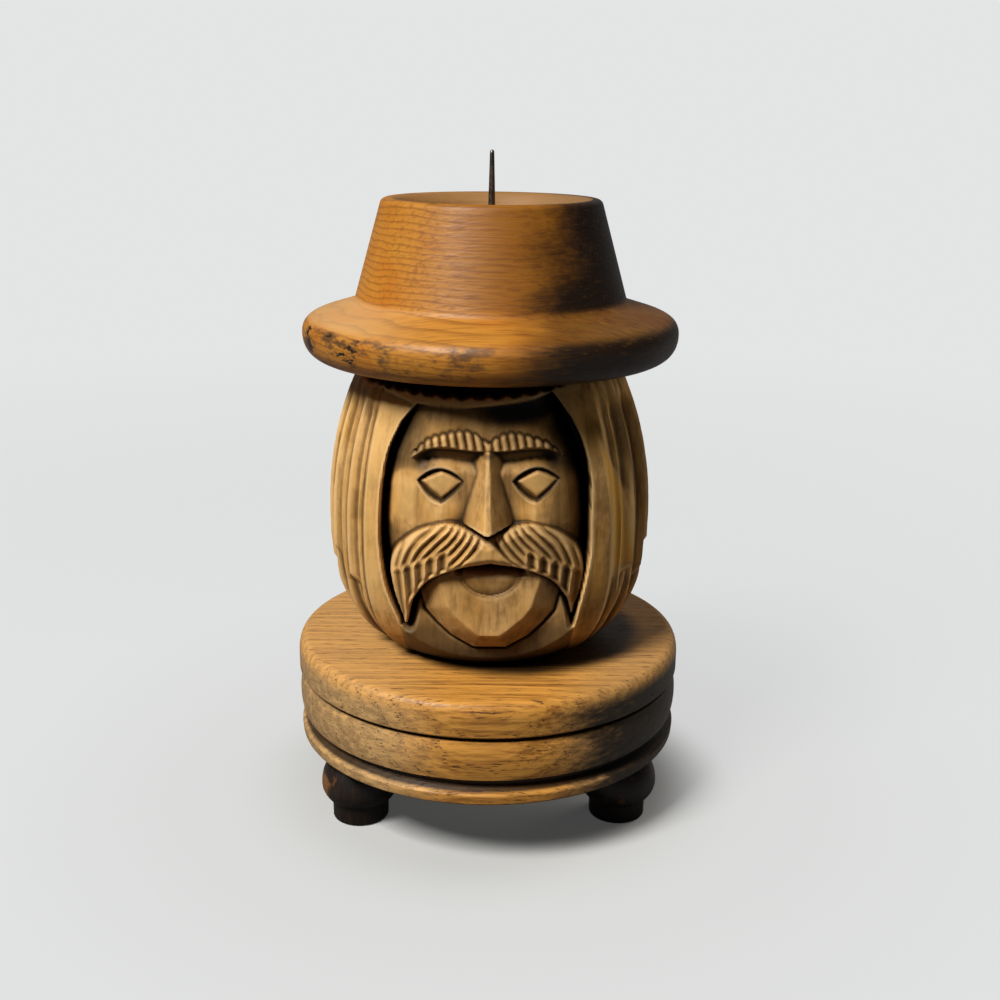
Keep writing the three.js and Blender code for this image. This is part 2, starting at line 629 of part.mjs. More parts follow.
// Half of the chin: a shield-shaped facet, and the line that its bevels end on
const CHIN_HALF = [
  point(15.2, -43.8, 94),
  point(14.8, -44.4, 88),
  point(12.3, -45.2, 80.2),
  point(5.2, -45.9, 73),
  point(3, -46, 71.5),
  point(21.8, -38, 92),
  point(19.8, -39.2, 77.4),
  point(12, -40, 69.2),
  point(5, -40.4, 65.2),
  point(20, -30, 92),
  point(19, -30, 77.4),
  point(5, -30, 65.2),
];
const CHIN_SHIFT = 0.7;

function chinBody() {
  return hull(bothSides(CHIN_HALF)).translate([CHIN_SHIFT, 0, 0]);
}

function scallopCuts() {
  const cuts = [];
  for (const angle of stepsBetween(SCALLOP_FIRST, SCALLOP_LAST, SCALLOP_COUNT - 1)) {
    const reach = EGG_RADIUS - SCALLOP_FLOOR;
    const gouge = new THREE.CylinderGeometry(SCALLOP_RADIUS, SCALLOP_RADIUS, reach, 12);
    gouge.translate(0, SCALLOP_FLOOR + reach / 2, 0).rotateZ(Math.PI + angle);
    cuts.push(solid(gouge.translate(0, 0, SCALLOP_LOWEST + SCALLOP_RADIUS)));
  }
  return cuts;
}

function headBody() {
  let head = hairBlock().subtract(frontPrism(FACE_OPENING, SLOT_BACK, FRONT_REACH));
  head = head.add(cutAll(faceCore(), socketCuts()));
  for (const sign of [-1, 1]) {
    head = head.subtract(eyeCut(sign)).add(eyeBody(sign));
  }
  head = head.add(chinBody()).subtract(frontPrism(MOUTH, MOUTH_DEPTH, FRONT_REACH));
  head = head.add(browBody()).add(moustacheBody()).add(lipBody());
  head = head.add(hull(bothSides(NOSE_HALF)));
  head = cutAll(head, scallopCuts());
  const dowelTop = HAT_UNDERSIDE + CUT_OVERSHOOT;
  const dowelHole = peg(DOWEL_RADIUS + GLUE_GAP, HAT_UNDERSIDE - DOWEL_DEPTH, dowelTop);
  const pilotEnd = BASE_TOP + SCREW_BITE + GLUE_GAP;
  const pilotHole = peg(SCREW_CORE_RADIUS + GLUE_GAP, BASE_TOP - CUT_OVERSHOOT, pilotEnd);
  return head.subtract(dowelHole).subtract(pilotHole);
}

// The assembled candlestick

const FEET = {
  foot_front_left: THREE.MathUtils.degToRad(FOOT_RING_TURN - 60),
  foot_front_right: THREE.MathUtils.degToRad(FOOT_RING_TURN + 60),
  foot_back: THREE.MathUtils.degToRad(FOOT_RING_TURN + 180),
};

function footPlace(angle) {
  return point(FOOT_RING_RADIUS * Math.sin(angle), -FOOT_RING_RADIUS * Math.cos(angle), 0);
}

const hatWood = { color: 0x8d6a4b, roughness: 0.5, metalness: 0 };
const headWood = { color: 0x9c8563, roughness: 0.62, metalness: 0 };
const baseOak = { color: 0x96704c, roughness: 0.55, metalness: 0 };
const blackStain = { color: 0x2b231d, roughness: 0.5, metalness: 0 };
const rawBeech = { color: 0xc49f70, roughness: 0.75, metalness: 0 };
const darkSteel = { color: 0x4b433d, roughness: 0.45, metalness: 0.9 };
const brightSteel = { color: 0x8a8781, roughness: 0.4, metalness: 0.9 };

const candlestick = new THREE.Group();
candlestick.name = 'carved_figural_candlestick';

function addPiece(name, body, finish, place = point(0, 0, 0)) {
  const mesh = new THREE.Mesh(geometryOf(body), new THREE.MeshStandardMaterial(finish));
  mesh.name = name;
  mesh.position.copy(place);
  candlestick.add(mesh);
}

addPiece('turned_hat', hatBody(), hatWood);
addPiece('pricket_spike', spikeBody(), darkSteel);
addPiece('hat_dowel', dowelBody(), rawBeech);
addPiece('carved_head', headBody(), headWood);
addPiece('base_screw', screwBody(), brightSteel);
addPiece('turned_base', baseBody(Object.values(FEET)), baseOak);
for (const [name, angle] of Object.entries(FEET)) {
  addPiece(name, footBody(), blackStain, footPlace(angle));
}

export default candlestick;
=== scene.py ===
# %% [markdown]
# # A carved candlestick in Blender
#
# The object is a wooden candlestick. A carved head with a moustache wears a turned hat, and the hat's
# top is a shallow dish with a spike that holds the candle. The head stands on a turned oak base with
# three ball feet. The solids made in CAD give every piece its place and its size. This script makes
# each piece again with the curves, the tool marks and the finish that the eye sees.

# %% Load the solids
import math

import bpy
import numpy as np
from mathutils import Matrix, Vector, noise
from mathutils.geometry import interpolate_bezier


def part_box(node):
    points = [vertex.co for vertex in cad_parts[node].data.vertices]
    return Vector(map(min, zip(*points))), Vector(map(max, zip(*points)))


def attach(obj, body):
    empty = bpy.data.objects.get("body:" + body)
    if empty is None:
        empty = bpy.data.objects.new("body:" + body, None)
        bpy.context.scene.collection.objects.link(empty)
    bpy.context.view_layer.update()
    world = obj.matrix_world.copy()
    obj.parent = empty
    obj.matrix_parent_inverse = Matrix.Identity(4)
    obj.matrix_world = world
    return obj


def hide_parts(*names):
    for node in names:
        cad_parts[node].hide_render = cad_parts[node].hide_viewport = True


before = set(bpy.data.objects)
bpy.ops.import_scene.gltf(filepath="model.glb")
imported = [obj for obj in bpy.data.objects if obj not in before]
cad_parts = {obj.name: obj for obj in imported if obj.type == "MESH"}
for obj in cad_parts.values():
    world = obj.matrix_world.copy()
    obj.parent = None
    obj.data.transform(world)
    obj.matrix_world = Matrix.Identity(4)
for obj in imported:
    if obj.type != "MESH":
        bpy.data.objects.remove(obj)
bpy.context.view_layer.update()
MM = 0.001


def limits(node):
    """Lowest and highest corner of a solid, in millimetres."""
    low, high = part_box(node)
    return low / MM, high / MM


print("solids:", ", ".join(sorted(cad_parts)))

# %% [markdown]
# ## Turned work
#
# Hat, base, feet and spike are round because they came off a lathe. In Blender the same thing takes
# one point: it is extruded along the outline that a turner would cut, and then spun once round the
# upright axis. Where the outline bends, a Bezier curve gives the points of the bend.


# %% A lathe
def begin(name, add, **settings):
    """Adds a primitive with nothing else selected, and names it."""
    bpy.ops.object.select_all(action="DESELECT")
    add(**settings)
    piece = bpy.context.object
    piece.name = name
    return piece


def bend(start, pull_start, pull_end, end, steps=8):
    """Points of a Bezier bend in an outline, from its start to its end."""
    corners = [Vector((r, z, 0)) for r, z in (start, pull_start, pull_end, end)]
    return [(point.x, point.y) for point in interpolate_bezier(*corners, steps + 1)]


def rounded(corner, before, after, radius, steps=5):
    """Points that round an outline's corner off between the two points beside it."""
    corner, before, after = (Vector(point) for point in (corner, before, after))
    start = corner + (before - corner).normalized() * radius
    end = corner + (after - corner).normalized() * radius
    return bend(start, start.lerp(corner, 0.55), end.lerp(corner, 0.55), end, steps)


def turned(name, outline, steps):
    """Spins an outline of (radius, height) points in millimetres round the upright axis."""
    piece = begin(name, bpy.ops.mesh.primitive_plane_add, size=MM)
    bpy.ops.object.mode_set(mode="EDIT")
    bpy.ops.mesh.select_all(action="SELECT")
    bpy.ops.mesh.merge(type="CENTER")
    at = (0, 0)
    for count, (r, z) in enumerate(outline):
        step = ((r - at[0]) * MM, 0, (z - at[1]) * MM)
        if count == 0:
            bpy.ops.transform.translate(value=step)
        else:
            bpy.ops.mesh.extrude_region_move(TRANSFORM_OT_translate={"value": step})
        at = (r, z)
    bpy.ops.mesh.select_all(action="SELECT")
    bpy.ops.mesh.spin(steps=steps, angle=math.tau, center=(0, 0, 0), axis=(0, 0, 1))
    bpy.ops.mesh.select_all(action="SELECT")
    bpy.ops.mesh.remove_doubles(threshold=0.01 * MM)
    bpy.ops.mesh.normals_make_consistent(inside=False)
    bpy.ops.object.mode_set(mode="OBJECT")
    bpy.ops.object.shade_smooth_by_angle(angle=math.radians(35))
    print(name, "has", len(piece.data.polygons), "faces")
    return piece


# %% [markdown]
# ## The hat
#
# The hat is one piece of wood turned between centres. Its brim is flat below and slopes on top to a
# heavy rounded edge, its crown tapers like a bucket, and the dish is hollowed with a round-nosed tool
# that leaves a cove round the floor. Two holes are bored on the axis: the dowel's from below and the
# spike's from above.

# %% Turn the hat
hat_low, hat_high = limits("turned_hat")
brim_radius = hat_high.x
brim_widest = 156.9
underside = (50, hat_low.z)
slope_end = (52.5, 163.2)
crown_foot = (42.7, 166.2)
crown_rim = (33.9, hat_high.z)
dish_mouth = (30.2, hat_high.z)
dish_floor = (25, hat_high.z - 5)
cove_top = (27.6, dish_floor[1] + 2.4)
dowel_hole = 5.3
dowel_hole_top = 162.9
spike_hole = 1.5
spike_hole_floor = 170.1

brim_edge = (brim_radius, brim_widest)
pull = 0.64
lower_edge = bend(
    underside,
    (underside[0] + pull * (brim_radius - underside[0]), underside[1]),
    (brim_radius, brim_widest - pull * (brim_widest - underside[1])),
    brim_edge,
    steps=14,
)
upper_edge = bend(
    brim_edge,
    (brim_radius, brim_widest + pull * (slope_end[1] - brim_widest)),
    (slope_end[0] + 3.6, slope_end[1] - 1.1),
    slope_end,
    steps=14,
)
cove = bend(cove_top, (27.2, dish_floor[1] + 0.5), (26.2, dish_floor[1]), dish_floor)
hat_outline = [
    (0, dowel_hole_top),
    (dowel_hole, dowel_hole_top),
    (dowel_hole, underside[1]),
    *lower_edge,
    *upper_edge[1:],
    *rounded(crown_foot, slope_end, crown_rim, 1.6),
    *rounded(crown_rim, crown_foot, dish_mouth, 1.5, steps=7),
    *rounded(dish_mouth, crown_rim, cove_top, 1.2),
    *cove,
    (spike_hole, dish_floor[1]),
    (spike_hole, spike_hole_floor),
    (0, spike_hole_floor),
]
hat = turned("hat", hat_outline, steps=160)

# %% [markdown]
# ## The spike
#
# The candle is pushed onto a steel spike, a nail with its head cut off and driven into the dish. A
# circle is extruded upwards and drawn in at each step, and its end is closed to a blunt point.

# %% Draw the spike
spike_low, spike_high = limits("pricket_spike")
spike_foot = 1.15
spike_heights = (dish_floor[1], 200, spike_high.z - 1.2, spike_high.z - 0.3, spike_high.z)
spike_radii = (spike_foot, 0.96, 0.68, 0.6, 0.3)

spike = begin(
    "spike",
    bpy.ops.mesh.primitive_circle_add,
    vertices=32,
    radius=spike_foot * MM,
    fill_type="NGON",
    location=(0, 0, spike_low.z * MM),
)
bpy.ops.object.transform_apply(location=True)
bpy.ops.object.mode_set(mode="EDIT")
bpy.ops.mesh.select_all(action="SELECT")
rise = spike_low.z
width = spike_foot
for height, slimmer in zip(spike_heights, spike_radii):
    bpy.ops.mesh.extrude_region_move(TRANSFORM_OT_translate={"value": (0, 0, (height - rise) * MM)})
    bpy.ops.transform.resize(value=(slimmer / width, slimmer / width, 1), center_override=(0, 0, 0))
    rise = height
    width = slimmer
bpy.ops.mesh.select_all(action="SELECT")
bpy.ops.mesh.normals_make_consistent(inside=False)
bpy.ops.object.mode_set(mode="OBJECT")
bpy.ops.object.shade_smooth_by_angle(angle=math.radians(40))
print("spike stands", round(spike_high.z - dish_floor[1], 1), "mm above the dish")

# %% [markdown]
# ## The base
#
# The base is an oak disc with two grooves, which leave a rounded top step, a band and a thin flange.
# Oak is hard, so the edges stay fairly crisp and only their corners are eased. A screw comes up from
# below through the middle. The mortises for the feet are bored with a boolean, as with a drill.

# %% Turn the base
base_low, base_high = limits("turned_base")
base_radius = base_high.x
top_edge = bend(
    (base_radius, base_high.z - 5.4),
    (base_radius, base_high.z - 1.9),
    (base_radius - 1.1, base_high.z),
    (base_radius - 3.6, base_high.z),
    steps=12,
)
step_foot = (base_radius, 45.5)
upper_groove_low = (60.2, 44.4)
upper_groove_high = (60.2, 45.4)
band_high = (base_radius - 1.1, 44)
band_low = (base_radius - 1.1, 31.6)
belly = base_radius + 0.15
band = bend(band_low, (belly, 35), (belly, 40.6), band_high, steps=10)
lower_groove_high = (59.2, 31.2)
lower_groove_low = (59.2, 28.9)
flange_high = (base_radius - 0.35, 26.8)
flange_low = (base_radius - 0.6, base_low.z)
screw_hole = 2.7
counterbore = 6
counterbore_top = base_low.z + 8
base_outline = [
    (screw_hole, counterbore_top),
    (counterbore, counterbore_top),
    (counterbore, base_low.z),
    *rounded(flange_low, (0, base_low.z), flange_high, 0.7),
    *rounded(flange_high, flange_low, lower_groove_low, 0.5),
    *rounded(lower_groove_low, flange_high, lower_groove_high, 0.5),
    *rounded(lower_groove_high, lower_groove_low, band_low, 0.4),
    *band,
    *rounded(upper_groove_low, band_high, upper_groove_high, 0.4),
    *rounded(step_foot, upper_groove_high, top_edge[0], 0.8),
    *top_edge,
    (screw_hole, base_high.z),
    (screw_hole, counterbore_top),
]
base = turned("base", base_outline, steps=192)

# %% Bore the mortises
feet = ("foot_front_left", "foot_front_right", "foot_back")
foot_spots = []
for node in feet:
    low, high = limits(node)
    foot_spots.append(((low.x + high.x) / 2, (low.y + high.y) / 2))
tenon_top = limits("foot_back")[1].z
mortise_radius = 5.3
mortise_top = tenon_top + 0.3
for foot_x, foot_y in foot_spots:
    drill = begin(
        "drill",
        bpy.ops.mesh.primitive_cylinder_add,
        vertices=40,
        radius=mortise_radius * MM,
        depth=2 * (mortise_top - base_low.z) * MM,
        location=(foot_x * MM, foot_y * MM, base_low.z * MM),
    )
    bpy.context.view_layer.objects.active = base
    hole = base.modifiers.new("mortise", "BOOLEAN")
    hole.object = drill
    hole.solver = "EXACT"
    bpy.ops.object.modifier_apply(modifier=hole.name)
    bpy.data.objects.remove(drill)
print("mortises at", [(round(foot_x, 1), round(foot_y, 1)) for foot_x, foot_y in foot_spots])

# %% [markdown]
# ## The feet
#
# Each foot is a turned ball that tapers to a flat toe, with a tenon glued into the base. One foot is
# turned on the lathe, and the other two are copies with a mesh of their own, moved to their places.

# %% Turn one foot and copy it
ball_radius = 12.5
ball_widest = 12.3
ball_rise = 13.4
ball_drop = 9.1
toe_radius = 9.0
toe_top = (9.3, 6.2)
ball_top = base_low.z - 0.05
tenon_radius = 5
chamfer = 0.6
BALL_STEPS = 24
ball = []
for step in range(BALL_STEPS + 1):
    height = toe_top[1] + (ball_top - toe_top[1]) * step / BALL_STEPS
    reach = ball_rise if height > ball_widest else ball_drop
    ball.append((ball_radius * math.sqrt(1 - ((height - ball_widest) / reach) ** 2), height))
foot_outline = [
    (0, 0),
    *rounded((toe_radius, 0), (0, 0), toe_top, 0.7),
    (toe_top[0] - 0.2, toe_top[1] - 0.5),
    *ball,
    (tenon_radius, ball_top),
    (tenon_radius, tenon_top - chamfer),
    (tenon_radius - chamfer, tenon_top),
    (0, tenon_top),
]
first_foot = turned("foot_1", foot_outline, steps=72)
foot_pieces = [first_foot]
for count in (2, 3):
    copy = first_foot.copy()
    copy.data = first_foot.data.copy()
    copy.name = f"foot_{count}"
    bpy.context.collection.objects.link(copy)
    foot_pieces.append(copy)
for piece, (foot_x, foot_y) in zip(foot_pieces, foot_spots):
    bpy.ops.object.select_all(action="DESELECT")
    piece.select_set(True)
    bpy.context.view_layer.objects.active = piece
    bpy.ops.transform.translate(value=(foot_x * MM, foot_y * MM, 0))
    bpy.ops.object.transform_apply(location=True)
print("feet:", [piece.name for piece in foot_pieces])

# %% [markdown]
# ## The carved head
#
# The head is the skilled part. A carver turns an egg, sets in the outline of the face with deep slots,
# and works every plane with gouge and knife. No single tool in Blender does that, so the head starts as
# a sphere with very fine rows and columns, and its surface is cut back step by step. All the cuts are
# kept as depths below the egg, in millimetres. In front a cut goes straight back, the way the carver
# looks at the face, and round the sides it goes towards the axis.

# %% The egg before carving
head_low, head_high = limits("carved_head")
EGG_RADIUS = 52.0
EGG_WIDEST = 99.0
EGG_RISE = 78.2
EGG_DROP = 47.2
ELLIPSE = 2.0
FULLER = 2.85


def egg(z):
    """Radius of the uncarved egg at a height, an ellipse above and a fuller curve below."""
    above = z > EGG_WIDEST
    share = np.abs(z - EGG_WIDEST) / np.where(above, EGG_RISE, EGG_DROP)
    power = np.where(above, ELLIPSE, FULLER)
    return EGG_RADIUS * (1 - share**power) ** (1 / power)


def ease(value, low, high):
    """Rises smoothly from 0 at low to 1 at high."""
    share = np.clip((value - low) / (high - low), 0, 1)
    return share * share * (3 - 2 * share)


print("egg is", 2 * EGG_RADIUS, "mm across")

# %% Rows and columns of the grid
FRONT = math.radians(46)
FRONT_COLUMNS = 206
FLUTES = 21
FLUTES_BESIDE_FACE = 3
FINE_STEPS = 12
PLAIN_STEPS = 8
FACE_TOP = 137
FACE_FOOT = 64
ROWS_ABOVE = 28
FACE_ROWS = 205
ROWS_BELOW = 14
BEHIND = 1000
front_half = EGG_RADIUS * math.sin(FRONT)
front_places = np.linspace(-front_half, front_half, FRONT_COLUMNS, endpoint=False)
front_turns = np.arcsin(front_places / EGG_RADIUS)


def by_hand(pace):
    """Small deviations between -1 and 1, one for each ridge, as a hand leaves them."""
    return np.sin(pace * np.arange(FLUTES + 1))


ridge_shares = (np.arange(FLUTES + 1) + 0.16 * by_hand(3 * math.pi / 7)) / FLUTES
ridges = FRONT + (math.tau - 2 * FRONT) * ridge_shares

turns = list(front_turns)
flute_of = [-1] * len(turns)
across_of = [0.0] * len(turns)
for number in range(FLUTES):
    from_face = min(number, FLUTES - 1 - number)
    steps = FINE_STEPS if from_face < FLUTES_BESIDE_FACE else PLAIN_STEPS
    for step in range(steps):
        share = step / steps
        turns.append(ridges[number] + share * (ridges[number + 1] - ridges[number]))
        flute_of.append(number)
        across_of.append(2 * share - 1)
heights = np.concatenate(
    [
        np.linspace(head_high.z, FACE_TOP, ROWS_ABOVE)[:-1],
        np.linspace(FACE_TOP, FACE_FOOT, FACE_ROWS)[:-1],
        np.linspace(FACE_FOOT, head_low.z, ROWS_BELOW),
    ]
)
turn, z = np.meshgrid(np.array(turns), heights)
turn = np.where(turn > math.pi, turn - math.tau, turn)
bearing = np.degrees(turn)
radius = egg(z)
x = radius * np.sin(turn)
forward = radius * np.cos(turn)
in_front = np.where(forward > 0, x, BEHIND)
print("head grid:", z.shape, "rows and columns")

# %% [markdown]
# ### Hair
#
# The hair is a ring of long flutes that meet in sharp ridges, each made with two passes of a gouge side
# by side. Lower down a second row of cuts starts on those ridges with rounded ends and runs into the
# neck. No two cuts are quite alike, so each has a small deviation of its own.

# %% Gouge the hair
FLUTE_DEPTH = 2.2
WHOLE_SHARE = 0.62
PASS_SHARE = 0.37
CREASE_HEIGHT = 87
SHORT_CUT_DEPTH = 2.3
flute = np.array(flute_of)[None, :] + np.zeros_like(z, dtype=int)
gouged = flute >= 0
across = np.array(across_of)[None, :] + np.zeros_like(z)
flute_depth = FLUTE_DEPTH * (1 + 0.22 * by_hand(1.9))
crease = CREASE_HEIGHT + 4 * by_hand(2.7)
crease[[0, -1]] = head_low.z
ridge = np.where(across < 0, flute, flute + 1)
from_ridge = np.where(across < 0, across + 1, across - 1)
below_crease = crease[ridge] - z
one_pass = 1 - (2 * np.abs(across) - 1) ** 2
under_hat = 0.7 * ease(z, 134, 143)
past_crease = 0.85 * ease(below_crease, 0, 18)
long_cut = flute_depth[flute] * (WHOLE_SHARE * (1 - across**2) + PASS_SHARE * one_pass)
long_cut = long_cut * (1 - under_hat) * (1 - past_crease)
short_cut = np.clip(0.6 * below_crease, -4, SHORT_CUT_DEPTH) + 0.65 * one_pass - 1.9 * from_ridge**2
hair_cut = np.maximum(long_cut, short_cut)

inner_strand = 1.3 * ease(FRONT - np.abs(turn), 0, 0.16) * (1 - 0.75 * ease(z, 132, 140))
hair_cut = np.where(gouged, hair_cut, inner_strand)
surface = forward - hair_cut
print("hair is cut up to", round(float(hair_cut.max()), 1), "mm deep")

# %% [markdown]
# ### Setting in the face
#
# The outline of the face is a curve drawn on the block. Inside it the wood is cut far back, which leaves
# the locks of hair standing at both sides as thin walls with a dark slot behind them. The face itself is
# a boxy core inside that opening.


# %% Outlines and distances
def curve(points, steps=5):
    """A smooth line through points, as a list of more points."""
    points = [np.array(point, float) for point in points]
    ends = [2 * points[0] - points[1], *points, 2 * points[-1] - points[-2]]
    line = []
    for a, b, c, d in zip(ends, ends[1:], ends[2:], ends[3:]):
        squared = 2 * a - 5 * b + 4 * c - d
        cubed = 3 * b - a - 3 * c + d
        for step in range(steps):
            t = step / steps
            line.append(0.5 * (2 * b + (c - a) * t + squared * t**2 + cubed * t**3))
    return [*line, points[-1]]


def mirrored(half):
    """An outline from its right half, which runs from the middle round to the middle."""
    return [*half, *[(-px, pz) for px, pz in reversed(half)]]


def distance(x, z, line):
    """Distance of every grid point to an open line."""
    best = np.full(x.shape, np.inf)
    for (ax, az), (bx, bz) in zip(line, line[1:]):
        dx, dz = bx - ax, bz - az
        share = np.clip(((x - ax) * dx + (z - az) * dz) / (dx * dx + dz * dz + 1e-9), 0, 1)
        best = np.minimum(best, np.hypot(x - ax - share * dx, z - az - share * dz))
    return best


def inside(x, z, outline):
    """Distance of every grid point to a closed outline, negative outside it."""
    loop = [*outline, outline[0]]
    within = np.zeros(x.shape, bool)
    for (ax, az), (bx, bz) in zip(loop, loop[1:]):
        if az != bz:
            within ^= ((az > z) != (bz > z)) & (x < ax + (z - az) * (bx - ax) / (bz - az))
    away = distance(x, z, loop)
    return np.where(within, away, -away)


# %% Cut the opening and the core of the face
UNDER_HEAD = 50
OPENING_FOOT = 23
fringe_edge = curve([(-21, 140.6), (-16.5, 140.9), (-7.6, 140.7), (0, 141.3), (10, 142.6), (18.5, 144.4)])
right_lock = curve([(24, 136.7), (27.8, 128.6), (30.1, 118.3), (30.4, 105.6), (30.2, 93.8), (26.3, 73)])
left_lock = curve(
    [(-26.2, 73), (-30.3, 84), (-32, 95), (-32.3, 106), (-31.3, 117), (-29.2, 126.7), (-25.4, 135)]
)
opening_foot = [(OPENING_FOOT, UNDER_HEAD), (-OPENING_FOOT, UNDER_HEAD)]
opening = inside(in_front, z, [*fringe_edge, *right_lock, *opening_foot, *left_lock])

FACE_MIDDLE = -1.5
face_x = in_front - FACE_MIDDLE
core_line = [(60, 25.3), (73, 27.8), (85, 30.8), (96, 32), (105, 32.3), (116, 31.3), (125, 29.2), (140, 22.6)]
core_half = np.interp(z, *zip(*core_line))
core_depth = np.interp(z, [60, 75, 90, 105, 130, 136, 142], [36, 40.5, 42, 43, 43.2, 42.8, 41.4])
squarish = np.clip(np.abs(face_x) / core_half, 0, 0.9999)
core = core_depth * (1 - squarish**4) ** 0.25
SLOT_FLOOR = 24
face = np.maximum(core, SLOT_FLOOR)
print("opening covers", int((opening > 0).sum()), "grid points")

# %% [markdown]
# ### Brow and eyes
#
# The forehead is one smooth plane just behind the fringe. Along its lower edge a row of small gouge cuts
# makes the ribs of the brow, which end in a sharp overhanging edge. Each eye is an almond sunk into the
# face with a flat diamond left standing in it, a chip carver's way to make an eye that catches the light.


# %% Carve the brow
def wave_cut(phase, sharpness):
    """Depth of a row of grooves, 1 at each groove and 0 on the crest between two."""
    return np.abs(2 * (phase - np.floor(phase)) - 1) ** sharpness


def height_of(line, beside):
    """Height of a line that is given by points, at each distance beside the middle."""
    points = sorted((px, pz) for px, pz in line)
    return np.interp(beside, [px for px, _ in points], [pz for _, pz in points])


beside = np.abs(in_front)
brow_top = curve(
    [(0, 130.7), (2.1, 132.3), (4.8, 133.9), (8, 134.3), (12.9, 133.3), (18, 131.2), (22.4, 126.6)]
)
brow_low = curve([(0, 128), (4, 128.1), (8.5, 128.6), (12, 129.2), (16.3, 128.7), (19.4, 127.5), (22.6, 125)])
RIB_PITCH = 2.5
RIB_DEPTH = 1.5
SOCKET_DEPTH = 3.4
rib_phase = (in_front + 0.2 * (z - 129)) / RIB_PITCH
groove = wave_cut(rib_phase + 0.5, 2.2)
below_top = height_of(brow_top, beside) - 0.06 * np.maximum(in_front, 0) - 0.7 * groove - z
above_low = z - height_of(brow_low, beside)
temple = 1 - ease(beside, 21.6, 24)
stop_cut = 0.9 * (1 - ease(np.abs(below_top), 0, 0.8))
ribs = RIB_DEPTH * groove * ease(below_top, -0.2, 0.6)
brow_push = 0.7 * (1 - ease(above_low, 0, 9)) + 0.9 * ease(below_top, 0, 1.2)
brow = core + (brow_push - stop_cut - ribs) * temple
lid_end = 1 - ease(beside, 17, 23)
socket = SOCKET_DEPTH * lid_end * ease(-above_low, -0.4, 2.2) * (1 - ease(-above_low, 2.4, 7.5))
face = np.maximum(core - socket, SLOT_FLOOR)
brow_mask = ease(above_low + 0.3 * groove, -0.25, 0.3)
face = face + (np.maximum(brow, SLOT_FLOOR) - face) * brow_mask
# The stop cut and the rib grooves are darkened, stain and painted shade, and so is a band under the brow's
# edge, as painted shade.
stain_shade_and_light = temple * brow_mask * np.maximum(0.95 * stop_cut, 0.75 * groove * ease(below_top, 0, 0.6))
stain_shade_and_light = np.maximum(stain_shade_and_light, 0.6 * lid_end * ease(-above_low, 0, 0.5) * (1 - ease(-above_low, 1.6, 3)))
print("brow has", round(2 * brow_top[-1][0] / RIB_PITCH), "ribs")

# %% Carve the eyes
worn_and_lit = np.zeros_like(z)
EYE_MIDDLE = 14.1
EYE_HEIGHT = 118.6
EYE_HALF = 6.95
LID_RISE = 3.8
LID_DROP = 6.2
DIAMOND_HALF = 5.3
DIAMOND_RISE = 2.5
DIAMOND_DROP = 4.5
EYE_DEPTH = 3.2
for side in (-1, 1):
    beside_eye = in_front - side * EYE_MIDDLE - 0.1
    above_eye = z - EYE_HEIGHT - 0.2 * side
    span = np.clip(np.abs(beside_eye) / EYE_HALF, 0, 1)
    lid = LID_RISE * (1 - span**1.9)
    lower_lid = -LID_DROP * (1 - span ** np.where(beside_eye < 0, 1.8, 1.25))
    almond = np.minimum(lid - above_eye, above_eye - lower_lid)
    almond = np.where(span < 1, almond, -1)
    diamond_height = np.where(above_eye > 0, DIAMOND_RISE, DIAMOND_DROP)
    diamond = np.abs(beside_eye - 0.35) / DIAMOND_HALF + np.abs(above_eye) / diamond_height
    eye = core - 0.5 - EYE_DEPTH * np.clip(diamond - 1, 0, 0.8)
    in_eye = ease(almond, -0.15, 0.3)
    face = face + (eye - face) * in_eye
    # The diamond is painted pale, wear and painted highlight; the almond's rim and the sloping planes round
    # the diamond are painted dark as shade.
    worn_and_lit = np.maximum(worn_and_lit, 0.62 * in_eye * (1 - ease(diamond, 0.9, 1.05)))
    lower_left = (beside_eye < 0) & (above_eye < 0)
    rim_width = np.where(lower_left, 0.6, 0.9)
    rim = np.where(lower_left, 0.55, 0.95) * (1 - ease(np.abs(almond), 0.2, rim_width))
    planes = np.where(above_eye > 0, 0.42, 0.55) * in_eye * ease(diamond, 1.0, 1.15)
    stain_shade_and_light = np.maximum(stain_shade_and_light, np.maximum(rim, planes) * (np.abs(beside_eye) < 8))

CHEEK_TOP = 115
CHEEK_MIDDLE = 14
CHEEK_HALF = 7
CHEEK_PUSH = 1.3
cheek = ease(CHEEK_TOP - z, 0, 6) * np.maximum(1 - np.abs(beside - CHEEK_MIDDLE) / CHEEK_HALF, 0)
face = face + CHEEK_PUSH * cheek * (face > core - 0.4)
# The cheeks are painted pale, wear and painted highlight, and the outer left cheek is painted lit.
worn_and_lit = np.maximum(worn_and_lit, 0.75 * cheek * ease(z, 104, 108))
left_cheek = ease(-in_front, 18, 23) * ease(z, 100, 108) * (1 - ease(z, 118, 126))
worn_and_lit = np.maximum(worn_and_lit, 0.6 * left_cheek)
print("eyes are", 2 * EYE_HALF, "mm wide")

# %% [markdown]
# ### Nose and moustache
#
# The nose is a wedge of three planes: a narrow ridge that widens to the tip and two sides. The moustache
# is a thick arch. Its hair is cut in two rows, long slanting strands above and short, steeper ones below
# that start with a rounded gouge mark. A plain bevel runs along its lower edge.

# %% Carve the nose
NOSE_ROOT = 128.4
NOSE_LENGTH = 23.7
NOSE_START = 44.6
NOSE_REACH = 8.6
NOSE_FOOT = 104.4
nose_share = np.clip((NOSE_ROOT - z) / NOSE_LENGTH, 0, 1)
nose_ridge = NOSE_START + NOSE_REACH * nose_share
ridge_half = 0.3 + 0.7 * nose_share
nose_half = np.interp(z, [104, 110.5, 119, 128.5], [8.9, 7.2, 4.5, 1.6])
nose_side = np.clip((beside - ridge_half) / (nose_half - ridge_half), 0, 1.6)
nose = nose_ridge - (nose_ridge - core + 0.6) * nose_side
nose_cut = ease(z - NOSE_FOOT - 0.2 * beside, -0.2, 0.35) * ease(128.2 - z, -0.4, 0.4)
face = np.maximum(face, core + (nose - core) * nose_cut)
print("nose reaches", round(float((nose * nose_cut).max()), 1), "mm in front of the axis")

